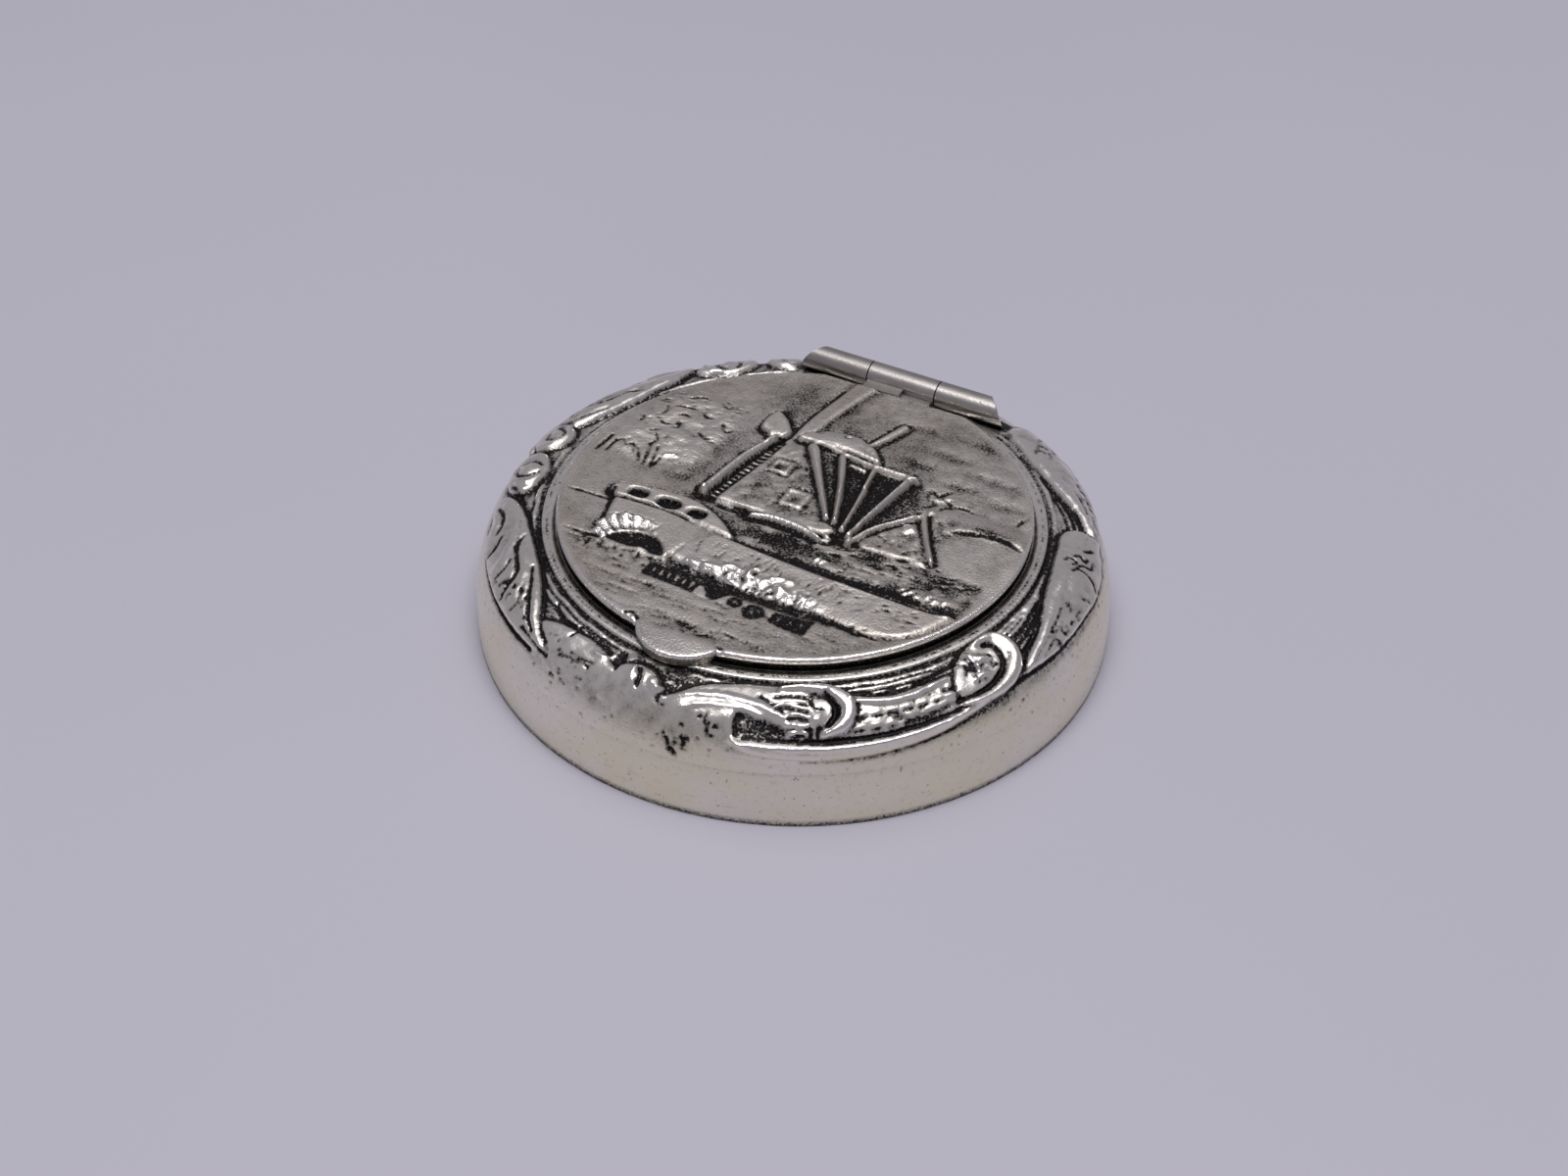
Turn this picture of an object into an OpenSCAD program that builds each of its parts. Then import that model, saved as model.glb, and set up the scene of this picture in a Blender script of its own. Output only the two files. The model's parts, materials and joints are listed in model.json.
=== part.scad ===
// Round silver pill box with a hinged lid: a drawn shell with an embossed shoulder, a soldered base and
// lid seat, and a struck lid on a three-knuckle hinge. Millimetres; +Z up; the hinge is at +Y.
// The origin is the centre of the base, on the surface that the box stands on.

/* [Body] */
// Diameter of the body at its foot
body_d = 45; // [40:0.5:50]
// Height of the lid seat above the table
seat_z = 8.05; // [7:0.05:10]
// Height at which the straight wall turns into the shoulder
wall_z = 1.5; // [1:0.1:2.5]
// How square the shoulder is: 2 is a quarter ellipse
shoulder_power = 2.5; // [2:0.1:3]
// Thickness of the shell's sheet
shell_t = 0.5; // [0.4:0.05:0.7]
// Thickness of the base plate
base_t = 0.5; // [0.4:0.05:0.8]
// How far the base plate sits above the foot of the wall
base_inset = 0.3; // [0.2:0.05:0.5]

/* [Lid seat] */
// Outer diameter of the flat ring round the opening
seat_d = 35.4; // [35:0.1:36.5]
// Thickness of the flat ring
seat_t = 0.55; // [0.4:0.05:0.7]
// Inner diameter of the collar, which is the opening
opening_d = 30.6; // [29:0.1:31]
// Wall thickness of the collar
collar_t = 0.4; // [0.3:0.05:0.5]
// Height of the collar
collar_h = 3; // [2:0.1:4]

/* [Lid] */
// Diameter of the lid
lid_d = 33.2; // [32.5:0.1:33.6]
// Height of the lid's edge
lid_h = 0.92; // [0.8:0.02:1.2]
// Thickness of the struck plate
plate_t = 0.5; // [0.4:0.05:0.6]
// Width of the turned-down edge
lid_rim_t = 0.5; // [0.4:0.05:0.6]
// Thickness of the plain plate that closes the lid underneath
back_t = 0.32; // [0.2:0.02:0.34]
// Gap between the closed lid and its seat
lid_gap = 0.03; // [0.02:0.01:0.06]
// Depth of the rim that holds the lid in the opening
snap_h = 1.2; // [0.8:0.1:1.6]
// Wall thickness of that rim
snap_t = 0.35; // [0.3:0.05:0.5]
// Gap between that rim and the collar, on each side
snap_gap = 0.1; // [0.08:0.01:0.2]
// Width of the thumb tab where it leaves the lid
tab_w = 6.4; // [4:0.1:7.5]
// How far the tab stands out from the lid's edge
tab_out = 1.6; // [1:0.1:2]

/* [Hinge] */
// Distance of the hinge line behind the centre
hinge_y = 17.5; // [17.4:0.05:17.8]
// Height of the hinge line
hinge_z = 8.8; // [8.7:0.05:9.2]
// Outer diameter of the knuckles
knuckle_d = 2; // [1.8:0.1:2.2]
// Diameter of the hinge pin
pin_d = 0.8; // [0.6:0.05:1]
// Length of the middle knuckle
middle_w = 5.5; // [4:0.1:7]
// Width of the gap between two knuckles
knuckle_gap = 0.1; // [0.08:0.01:0.2]
// Half length of the hinge, along the hinge line
hinge_end_x = 7.55; // [6.8:0.05:8.2]
// How far each slanting end is turned towards the back, in degrees
end_turn = 33; // [0:1:40]
// How far each slanting end is tipped up, in degrees
end_tip = 20; // [0:1:40]

/* [Hidden] */
$fn = 180;

SILVER = [0.78, 0.77, 0.74];
DARK_SILVER = [0.62, 0.61, 0.58];
INNER_SILVER = [0.85, 0.82, 0.74];

body_r = body_d / 2;
seat_r = seat_d / 2;
opening_r = opening_d / 2;
collar_r = opening_r + collar_t;
lid_r = lid_d / 2;
lid_z = seat_z + lid_gap;
lid_top = lid_z + lid_h;
knuckle_r = knuckle_d / 2;
pin_r = pin_d / 2;
// The shell ends a little below the seat, so that the ring stands proud of the shoulder.
shoulder_z = seat_z - 0.1;
// Radial clearance of the middle knuckle on the pin.
running_gap = 0.05;
// Radial clearance of the body round the lid's knuckle.
swing_gap = 0.15;
// Bevel on the lid's upper edge and on the outer edge of the ring.
edge_bevel = 0.15;
// Half length of the pin, whose ends lie inside the slanting ends.
pin_x = hinge_end_x - 0.5;
// More than the half length of the slanting ends at their longest.
hinge_foot_x = hinge_end_x + knuckle_d / 2;
// The lid is cut straight along the hinge, a little outside the opening.
lid_back_y = opening_r + 0.25;
middle_x = middle_w / 2;
outer_x = middle_x + knuckle_gap;
// Steps of the shoulder's curve.
shoulder_steps = 14;
// More than the size of the part, for the tools of a cut.
far = 60;

// The shoulder's curve from the wall, at step 0, to the opening, at the last step, for a sheet surface
// that runs from (wall radius, wall_z) to (seat_r, top).
function shoulder(wall_r, top) =
    [for (i = [0:shoulder_steps])
        let (a = 90 * i / shoulder_steps, e = 2 / shoulder_power)
            [seat_r + (wall_r - seat_r) * pow(max(0, cos(a)), e), wall_z + (top - wall_z) * pow(sin(a), e)]];

function reversed(list) = [for (i = [len(list) - 1:-1:0]) list[i]];

// A cylinder along the hinge line, from x0 to x1.
module hinge_rod(r, x0, x1) {
    translate([x0, hinge_y, hinge_z]) rotate([0, 90, 0]) cylinder(h = x1 - x0, r = r);
}

// The room that the hinge takes out of the body: a groove that the outer knuckles are soldered in, and
// a deeper one that the middle knuckle turns in.
module hinge_groove() {
    hinge_rod(knuckle_r, -hinge_foot_x, hinge_foot_x);
    hinge_rod(knuckle_r + swing_gap, -outer_x, outer_x);
}

module tube(r_out, r_in, z0, z1) {
    translate([0, 0, z0]) difference() {
        cylinder(h = z1 - z0, r = r_out);
        translate([0, 0, -1]) cylinder(h = z1 - z0 + 2, r = r_in);
    }
}

module outer_shell() {
    color(SILVER) difference() {
        rotate_extrude() polygon(concat(
            [[body_r - shell_t, 0], [body_r, 0]],
            shoulder(body_r, shoulder_z),
            reversed(shoulder(body_r - shell_t, shoulder_z - shell_t))));
        hinge_groove();
    }
}

module base_plate() {
    color(INNER_SILVER) translate([0, 0, base_inset]) cylinder(h = base_t, r = body_r - shell_t);
}

module seat_ring() {
    color(SILVER) difference() {
        rotate_extrude() polygon([
            [collar_r, seat_z - seat_t], [seat_r, seat_z - seat_t], [seat_r, seat_z - edge_bevel],
            [seat_r - edge_bevel, seat_z], [collar_r, seat_z]]);
        hinge_groove();
    }
}

module inner_collar() {
    color(INNER_SILVER) tube(collar_r, opening_r, seat_z - collar_h, seat_z);
}

// One outer knuckle on the +X side, mitred at its end so that it runs down to the shoulder.
module outer_knuckle() {
    difference() {
        hinge_rod(knuckle_r, outer_x, hinge_foot_x);
        hinge_rod(pin_r, outer_x - 1, hinge_foot_x + 1);
        translate([hinge_end_x, hinge_y, hinge_z]) rotate([0, -end_tip, end_turn])
            translate([0, -far / 2, -far / 2]) cube(far);
    }
}

module hinge_knuckle_right() {
    color(SILVER) outer_knuckle();
}

module hinge_knuckle_left() {
    color(SILVER) mirror([1, 0, 0]) outer_knuckle();
}

module hinge_pin() {
    color(DARK_SILVER) hinge_rod(pin_r, -pin_x, pin_x);
}

// The lid's outline with its thumb tab: a lobe of two arcs that meets the disc at tab_w.
module tab_outline() {
    lobe_r = tab_w / 2;
    lobe_y = lid_r + tab_out - lobe_r;
    intersection() {
        translate([0, -lobe_y]) circle(r = lobe_r);
        translate([-far / 2, -far]) square(far);
    }
}

// All that lies behind the lid's straight back edge.
module behind_lid() {
    translate([-far / 2, lid_back_y, -far / 2]) cube(far);
}

// The struck plate: a shallow cap with a turned-down edge, and the tab in one piece with it. Its edge is
// also turned down along the hinge.
module lid_plate() {
    tab_t = lid_h * 0.8;
    color(DARK_SILVER) difference() {
        union() {
            rotate_extrude() polygon([
                [lid_r - lid_rim_t, lid_z], [lid_r, lid_z], [lid_r, lid_top - edge_bevel],
                [lid_r - edge_bevel, lid_top], [0, lid_top], [0, lid_top - plate_t],
                [lid_r - lid_rim_t, lid_top - plate_t]]);
            difference() {
                translate([0, 0, lid_top - tab_t]) linear_extrude(tab_t) tab_outline();
                translate([0, 0, lid_z - 1]) cylinder(h = lid_h + 2, r = lid_r - lid_rim_t);
            }
            intersection() {
                translate([0, 0, lid_z + back_t]) cylinder(h = lid_h - back_t - edge_bevel, r = lid_r - 0.1);
                translate([-far / 2, lid_back_y - lid_rim_t, 0]) cube(far);
            }
        }
        behind_lid();
    }
}

module lid_back_plate() {
    color(INNER_SILVER) difference() {
        translate([0, 0, lid_z]) cylinder(h = back_t, r = lid_r - lid_rim_t);
        behind_lid();
    }
}

module lid_snap_rim() {
    color(INNER_SILVER)
        tube(opening_r - snap_gap, opening_r - snap_gap - snap_t, lid_z - snap_h, lid_z);
}

// The strip that joins the middle knuckle to the lid. Its left half is built up with solder, almost level
// with the lid; over the right half there is a gap between the lid and the knuckle.
module lid_hinge_leaf() {
    leaf_x = middle_x - 0.1;
    leaf_z = lid_z + 0.1;
    depth = hinge_y - lid_back_y;
    solder_x = 0.3;
    color(SILVER) difference() {
        union() {
            translate([-leaf_x, lid_back_y, leaf_z]) cube([2 * leaf_x, depth, 0.45]);
            translate([-leaf_x, lid_back_y, leaf_z]) cube([leaf_x + solder_x, depth, lid_h - 0.15]);
        }
        hinge_rod(knuckle_r, -middle_x - 1, middle_x + 1);
    }
}

module lid_knuckle() {
    color(SILVER) difference() {
        hinge_rod(knuckle_r, -middle_x, middle_x);
        hinge_rod(pin_r + running_gap, -middle_x - 1, middle_x + 1);
    }
}

outer_shell();
base_plate();
seat_ring();
inner_collar();
hinge_knuckle_left();
hinge_knuckle_right();
hinge_pin();
lid_plate();
lid_back_plate();
lid_snap_rim();
lid_hinge_leaf();
lid_knuckle();
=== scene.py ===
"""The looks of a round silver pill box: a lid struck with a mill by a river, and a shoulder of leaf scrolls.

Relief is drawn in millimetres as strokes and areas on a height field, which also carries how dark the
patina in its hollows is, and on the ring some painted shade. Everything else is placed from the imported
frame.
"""

import json
import math

import bmesh
import bpy
import numpy as np
from mathutils import Matrix, Vector


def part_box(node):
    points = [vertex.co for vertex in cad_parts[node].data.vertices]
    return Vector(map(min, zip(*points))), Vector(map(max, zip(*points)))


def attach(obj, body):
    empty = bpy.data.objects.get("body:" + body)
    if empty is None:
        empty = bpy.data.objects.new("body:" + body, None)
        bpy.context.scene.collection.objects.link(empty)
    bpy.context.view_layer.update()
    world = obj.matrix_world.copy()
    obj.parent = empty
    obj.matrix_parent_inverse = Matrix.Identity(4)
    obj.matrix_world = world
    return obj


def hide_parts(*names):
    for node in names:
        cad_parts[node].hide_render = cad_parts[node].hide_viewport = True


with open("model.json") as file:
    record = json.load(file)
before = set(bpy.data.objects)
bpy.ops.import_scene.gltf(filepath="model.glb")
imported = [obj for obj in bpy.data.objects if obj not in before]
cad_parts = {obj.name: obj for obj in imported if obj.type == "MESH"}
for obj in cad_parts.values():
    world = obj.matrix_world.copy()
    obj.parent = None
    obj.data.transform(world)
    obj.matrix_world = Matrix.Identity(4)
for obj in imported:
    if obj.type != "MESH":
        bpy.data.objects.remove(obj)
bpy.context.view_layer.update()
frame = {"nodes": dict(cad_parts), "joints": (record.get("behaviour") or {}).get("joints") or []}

MM = 0.001
NODES = frame["nodes"]


def box_mm(node):
    low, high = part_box(node)
    return low / MM, high / MM


# Sizes from the frame, in millimetres.
SHELL_HIGH = box_mm("outer_shell")[1]
RING_HIGH = box_mm("seat_ring")[1]
COLLAR_HIGH = box_mm("inner_collar")[1]
LID_LOW, LID_HIGH = box_mm("lid_plate")
KNUCKLE_LOW, KNUCKLE_HIGH = box_mm("lid_knuckle")
BODY_R = SHELL_HIGH.x
SHOULDER_TOP = SHELL_HIGH.z
SEAT_R = RING_HIGH.x
SEAT_Z = RING_HIGH.z
COLLAR_R = COLLAR_HIGH.x
LID_R = LID_HIGH.x
LID_TOP = LID_HIGH.z
TAB_OUT = -LID_LOW.y - LID_R
HINGE = Vector(frame["joints"][0]["pos_m"]) / MM
KNUCKLE_R = (KNUCKLE_HIGH.z - KNUCKLE_LOW.z) / 2

# The shoulder's curve, as in the design: a superellipse above a straight wall.
WALL_Z = 1.5
SHOULDER_POWER = 2.5
SHELL_T = 0.5
# The thickness of the lid's plate, the radius of its tab's lobe and the width of its turned-down edge.
PLATE_T = 0.5
LOBE_R = 3.2
RIM_T = 0.48
# Radius of the lid's rounded upper edge.
LID_BEVEL = 0.24
# Half lengths along the hinge: the groove of the middle knuckle, the groove of the outer ones, the painted
# shade round them and the smooth ground that they are soldered to.
MIDDLE_X = 2.85
GROOVE_X = 8.3
KNUCKLE_SHADE_X = 9.0
SMOOTH_X = 9.6
# Room round the middle knuckle, which turns.
SWING_GAP = 0.14
# How much the drawn heights are raised, after the blur that rounds them.
LID_LIFT = 1.45
SHELL_LIFT = 1.25
# How black the lid's oxide is at its blackest.
LID_BLACK = 0.93
# Length along the shell's outside, from the ring down, that has fine rows and all of the picture.
SHOULDER_LENGTH = 6.6
# How far the pictures are turned on the box, from the tab towards +X.
PICTURE_TURN = math.radians(1)
# Shoulder drawings are in degrees from the front towards +X. This turns a degree into millimetres of arc.
DEGREE_MM = math.radians(20)


# ---------------------------------------------------------------- drawing a relief


def smoothstep(t):
    t = np.clip(t, 0, 1)
    return t * t * (3 - 2 * t)


def curve_through(points, steps=6):
    """A smooth line through the points, which doesn't overshoot on short spans."""
    points = np.asarray(points, float)
    if len(points) < 3:
        return points
    ends = np.vstack([2 * points[0] - points[1], points, 2 * points[-1] - points[-2]])
    t = np.linspace(0, 1, steps, endpoint=False)[:, None]
    spans = []
    for a, b, c, d in zip(ends, ends[1:], ends[2:], ends[3:]):
        spans.append(0.5 * (2 * b + (c - a) * t + (2 * a - 5 * b + 4 * c - d) * t**2
                            + (3 * b - a - 3 * c + d) * t**3))
    return np.vstack(spans + [points[-1:]])


def closed_curve(points, steps=6):
    """The same for a loop of points."""
    points = np.asarray(points, float)
    line = curve_through(np.vstack([points[-2:], points, points[:2]]), steps)
    return line[2 * steps:-steps - 1][:-1]


def arc(centre, radii, angles):
    """Points of an ellipse at those angles, in radians."""
    return [(centre[0] + radii[0] * math.cos(a), centre[1] + radii[1] * math.sin(a)) for a in angles]


class Relief:
    """Heights in millimetres over drawn points, with a dark map (patina, and on the ring painted shade) and a
    gloss map (rubbed bright).

    unit turns the drawing's x into millimetres. soft widens every edge. halo_dark is how dark the sunk
    halo round a raised area is, and halo_share fades it from place to place. mottle is the uneven tone
    that areas are filled with. ragged and broken make the lines of the drawing uneven, as hand work is.
    """

    def __init__(self, x, y, unit=1.0, seed=1, soft=1.0, halo_dark=0.6):
        self.x = x.ravel()
        self.y = y.ravel()
        self.unit = unit
        self.soft = soft
        self.halo_dark = halo_dark
        self.height = np.zeros(self.x.size)
        self.dark = np.zeros(self.x.size)
        self.gloss = np.zeros(self.x.size)
        self.random = np.random.default_rng(seed)
        # What is drawn next goes that many units further along x.
        self.shift = 0.0
        self.halo_share = np.ones(self.x.size)
        self.mottle = np.zeros(self.x.size)
        self.ragged = 0.05 * self.rough(0.26, 211)
        self.broken = np.clip(0.85 + 0.7 * self.rough(0.3, 221), 0.3, 1)

    def _points(self, points):
        points = np.array(points, float)
        points[:, 0] = (self.shift + points[:, 0]) * self.unit
        return points

    def _near(self, line, reach):
        low = line.min(0) - reach
        high = line.max(0) + reach
        return np.nonzero((self.x > low[0]) & (self.x < high[0])
                          & (self.y > low[1]) & (self.y < high[1]))[0]

    def _along(self, line, at):
        """Distance of the samples from a line, and how far along it they are, from 0 to 1."""
        px = self.x[at]
        py = self.y[at]
        best = np.full(at.size, 1e9)
        where = np.zeros(at.size)
        lengths = np.hypot(*np.diff(line, axis=0).T)
        total = max(lengths.sum(), 1e-9)
        done = 0.0
        for a, b, length in zip(line, line[1:], lengths):
            d = b - a
            t = np.clip(((px - a[0]) * d[0] + (py - a[1]) * d[1]) / max(length**2, 1e-12), 0, 1)
            gap = np.hypot(px - a[0] - t * d[0], py - a[1] - t * d[1])
            closer = gap < best
            best[closer] = gap[closer]
            where[closer] = ((done + t * length) / total)[closer]
            done += length
        return best, where

    def stroke(self, points, width, rise=0.0, dark=0.0, gloss=0.0, taper=(1.0, 1.0), straight=False):
        """A rounded ridge, or a groove where rise is negative. taper is its width at the two ends."""
        line = self._points(points)
        line = line if straight else curve_through(line)
        at = self._near(line, width)
        gap, where = self._along(line, at)
        gap = np.abs(gap + self.ragged[at] * min(1, 2.5 * width))
        ends = np.minimum(1, np.interp(where, [0, 0.35, 0.65, 1], [taper[0], 1, 1, taper[1]]))
        full = np.clip(1 - (gap / (0.5 * width * ends + 1e-6))**2, 0, 1)
        self.height[at] += rise * full * np.minimum(1, ends + 0.3)
        if rise > 0:
            self.dark[at] *= 1 - 0.85 * full
        self.dark[at] = np.maximum(self.dark[at], dark * self.broken[at] * np.sqrt(full))
        self.gloss[at] = np.maximum(self.gloss[at], gloss * full)

    def glint(self, points, width, rise, taper=(1.0, 1.0)):
        """A ridge that is rubbed bright."""
        self.stroke(points, width, rise, 0.0, 1.0, taper)

    def bar(self, points, widths, level, edge=0.12, dark=0.0, gloss=0.0, crown=0.0, halo=0.0, reach=0.35):
        """A flat-topped bar at that level, covering what is under it, in a dark sunk halo."""
        line = curve_through(self._points(points))
        at = self._near(line, max(widths) + reach * self.soft)
        gap, where = self._along(line, at)
        half = 0.5 * np.interp(where, np.linspace(0, 1, len(widths)), widths)
        self._cover(at, half - gap, level + crown * np.clip(1 - (gap / half)**2, 0, 1), edge, dark, gloss,
                    halo, reach)

    def area(self, points, level, edge=0.15, dark=0.0, gloss=0.0, halo=0.0, reach=0.35, straight=False,
             slope=(0.0, 0.0)):
        """A closed area at that level, covering what is under it. slope adds height per millimetre."""
        outline = self._points(points)
        outline = outline if straight else closed_curve(outline)
        ring = np.vstack([outline, outline[:1]])
        at = self._near(ring, (edge + reach) * self.soft)
        gap, _ = self._along(ring, at)
        inside = np.zeros(at.size, bool)
        px = self.x[at]
        py = self.y[at]
        for (ax, ay), (bx, by) in zip(ring, ring[1:]):
            if ay != by:
                inside ^= ((ay > py) != (by > py)) & (px < ax + (py - ay) / (by - ay) * (bx - ax))
        centre = outline.mean(0)
        tilt = slope[0] * (px - centre[0]) + slope[1] * (py - centre[1])
        depth = np.where(inside, gap, -gap) + 0.6 * self.ragged[at]
        self._cover(at, depth, level + tilt, edge, dark, gloss, halo, reach)

    def _cover(self, at, depth, level, edge, dark, gloss, halo, reach):
        """Fills where depth is positive, and sinks a dark halo just outside it."""
        mask = smoothstep(depth / (edge * self.soft) + 0.5)
        around = smoothstep(1 + depth / (reach * self.soft)) * (depth < 0) * self.halo_share[at]
        self.height[at] = self.height[at] * (1 - mask) + level * mask - 0.22 * halo * around * (1 - mask)
        rim = np.maximum(self.dark[at], self.halo_dark * halo * around)
        self.dark[at] = rim * (1 - mask) + (dark + self.mottle[at]) * mask
        self.gloss[at] = self.gloss[at] * (1 - mask) + gloss * mask

    def shade(self, centre, radii, dark=0.0, rise=0.0, gloss=0.0):
        """A soft round patch."""
        c = self._points([centre])[0]
        u = (self.x - c[0]) / radii[0]
        v = (self.y - c[1]) / radii[1]
        soft = np.exp(-(u * u + v * v))
        self.dark += dark * soft
        self.height += rise * soft
        self.gloss += gloss * soft

    def noise(self, size, seed, stretch=1.0):
        """Smooth noise from -1 to 1 with features of that size, stretched along x."""
        lattice = np.random.default_rng(seed).uniform(-1, 1, (256, 256))
        u = self.x / (size * stretch) + 91.3
        v = self.y / size + 47.9
        iu = np.floor(u).astype(int)
        iv = np.floor(v).astype(int)
        fu = smoothstep(u - iu)
        fv = smoothstep(v - iv)

        def row(j):
            left = lattice[iu % 256, (iv + j) % 256]
            right = lattice[(iu + 1) % 256, (iv + j) % 256]
            return left * (1 - fu) + right * fu

        return row(0) * (1 - fv) + row(1) * fv

    def rough(self, size, seed, stretch=1.0):
        """Three layers of noise, each half the size of the one before and fainter."""
        return sum(self.noise(size / 2**k, seed + k, stretch) / 1.6**k for k in range(3)) / 1.6

    def window(self, x0, x1, y0, y1, edge=0.4):
        """1 inside a rectangle, fading to 0 outside it. x0 and x1 are in the drawing's own units."""
        ends = sorted(self._points([(x0, y0), (x1, y1)])[:, 0])
        across = smoothstep((self.x - ends[0]) / edge) * smoothstep((ends[1] - self.x) / edge)
        return across * smoothstep((self.y - y0) / edge) * smoothstep((y1 - self.y) / edge)

    def flecks(self, count, x_range, y_range, length, width, rise, dark, lean=0.0, wander=0.3):
        """Short strokes at random places, all leaning about the same way."""
        for _ in range(count):
            x = self.random.uniform(*x_range)
            y = self.random.uniform(*y_range)
            a = math.radians(lean) + self.random.normal(0, wander)
            half = 0.5 * length * self.random.uniform(0.5, 1.3)
            step = (half * math.cos(a) / self.unit, half * math.sin(a))
            self.stroke([(x - step[0], y - step[1]), (x + step[0], y + step[1])],
                        width * self.random.uniform(0.7, 1.3), rise, dark, taper=(0.4, 0.4))

    def pits(self, count, x_range, y_range, radius, depth, dark):
        """Small dark holes at random places."""
        for _ in range(count):
            x = self.random.uniform(*x_range)
            y = self.random.uniform(*y_range)
            size = radius * self.random.uniform(0.5, 1.5)
            self.stroke([(x, y), (x + 0.6 * size / self.unit, y)], 2 * size, -depth, dark)


# ---------------------------------------------------------------- the picture on the lid


def draw_sky(r):
    """Faint clouds over hammered metal."""
    sky = r.window(-20, 20, -2, 20, 3)
    r.height += sky * 0.02 * r.rough(1.5, 11, 1.1)
    r.height += 0.008 * r.rough(0.5, 15) + 0.012 * sky * r.rough(0.3, 17)
    r.dark += 0.17 + np.clip(0.1 * r.rough(2.4, 21, 1.2) + 0.12 * r.rough(0.6, 25), -0.1, 0.3)
    for centre, size in (((7.5, 11.0), (2.2, 0.9)), ((11.0, 9.6), (2.2, 0.8)), ((9.0, 7.9), (2.3, 0.7)),
                         ((6.2, 9.0), (1.6, 0.7)), ((12.6, 7.3), (1.9, 0.8)), ((3.6, 13.2), (1.8, 0.8))):
        r.shade(centre, size, rise=0.04, dark=-0.15)
        r.shade((centre[0] + 0.4, centre[1] - 0.9), (size[0], 0.45), rise=-0.02, dark=0.15)
    for centre, size, dark in (((8.8, 12.4), (1.0, 0.35), 0.3), ((2.5, 11.0), (3.0, 2.0), 0.12),
                               ((5.2, 8.2), (1.4, 1.2), 0.2), ((-5.2, 10.5), (1.6, 3.6), 0.22),
                               ((-1.0, 10.6), (1.6, 1.6), 0.16), ((-7.4, 3.0), (1.8, 4.2), 0.22),
                               ((8.0, 12.6), (4.5, 1.6), 0.1), ((10.0, 8.6), (6.0, 4.6), 0.17),
                               ((4.6, 9.2), (2.6, 2.0), 0.12), ((-6.0, 12.6), (3.0, 2.0), 0.12)):
        r.shade(centre, size, dark=dark)


def draw_left_trees(r):
    """A thicket with dark gaps, and trunks below it."""
    leafy = r.window(-15.5, -7.6, -1.2, 8.6, 1.6)
    r.height += leafy * (0.08 + 0.06 * r.rough(1.1, 31) + 0.02 * r.rough(0.4, 33))
    r.dark += leafy * np.clip(0.5 * r.rough(0.8, 35) - 0.18, -0.2, 0.45)
    for centre, size in (((-11.2, 7.9), (1.5, 0.8)), ((-12.9, 5.6), (0.9, 0.8)), ((-10.6, 5.2), (1.3, 0.7)),
                         ((-11.6, 2.9), (1.3, 0.9)), ((-9.6, 2.2), (1.0, 1.1)), ((-14.2, 2.6), (0.9, 1.2)),
                         ((-9.0, 6.4), (0.8, 0.7)), ((-8.6, 4.4), (0.7, 1.0))):
        r.shade(centre, size, rise=0.07, dark=-0.16)
    for line in (((-13.2, 6.3), (-12.4, 6.5), (-11.5, 6.7)), ((-13.7, 6.2), (-13.4, 5.6), (-13.5, 4.9)),
                 ((-13.3, 4.3), (-12.8, 4.0), (-12.3, 4.2)), ((-12.4, 5.3), (-11.9, 5.6), (-11.3, 5.4)),
                 ((-12.8, 7.7), (-12.0, 8.3), (-11.2, 8.2)), ((-10.4, 8.4), (-9.7, 7.9), (-9.3, 8.3)),
                 ((-9.0, 5.8), (-8.4, 5.1), (-8.0, 5.6)), ((-12.0, 4.7), (-11.6, 4.0), (-12.2, 3.7)),
                 ((-10.0, 4.2), (-9.3, 3.6), (-8.8, 3.8)), ((-14.9, 0.3), (-14.4, 0.9), (-13.9, 0.3)),
                 ((-13.9, 0.3), (-13.4, 0.7), (-13.0, -0.2)), ((-12.6, 2.6), (-12.2, 1.9), (-12.5, 1.1)),
                 ((-10.9, 6.6), (-10.4, 6.1), (-9.8, 6.3)), ((-15.0, 4.3), (-14.5, 4.0), (-14.6, 3.4))):
        r.stroke(line, 0.3, -0.07, 0.75, taper=(0.5, 0.4))
    for line in (((-15.4, 1.2), (-15.6, -1.1)), ((-14.8, 0.8), (-14.9, -0.9)), ((-12.4, 1.6), (-11.6, -1.3)),
                 ((-12.9, 0.5), (-12.1, -0.9)), ((-11.7, 1.3), (-11.0, -1.4)), ((-10.9, 0.2), (-11.0, -1.0))):
        r.stroke(line, 0.26, -0.1, 0.85, taper=(0.6, 0.3))
    r.flecks(34, (-14.5, -8.2), (2.0, 8.6), 0.7, 0.22, -0.06, 0.55, 20, 0.9)
    r.pits(14, (-15.6, -9.0), (-0.6, 9.6), 0.12, 0.06, 0.7)
    r.stroke([(-10.7, 0.5), (-10.1, 0.8)], 0.4, 0.16, 0.0, 0.8)
    r.shade((-8.6, -0.6), (1.6, 1.6), dark=0.22, rise=-0.03)
    r.shade((-11.0, -1.2), (2.8, 0.8), dark=0.12)


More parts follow.
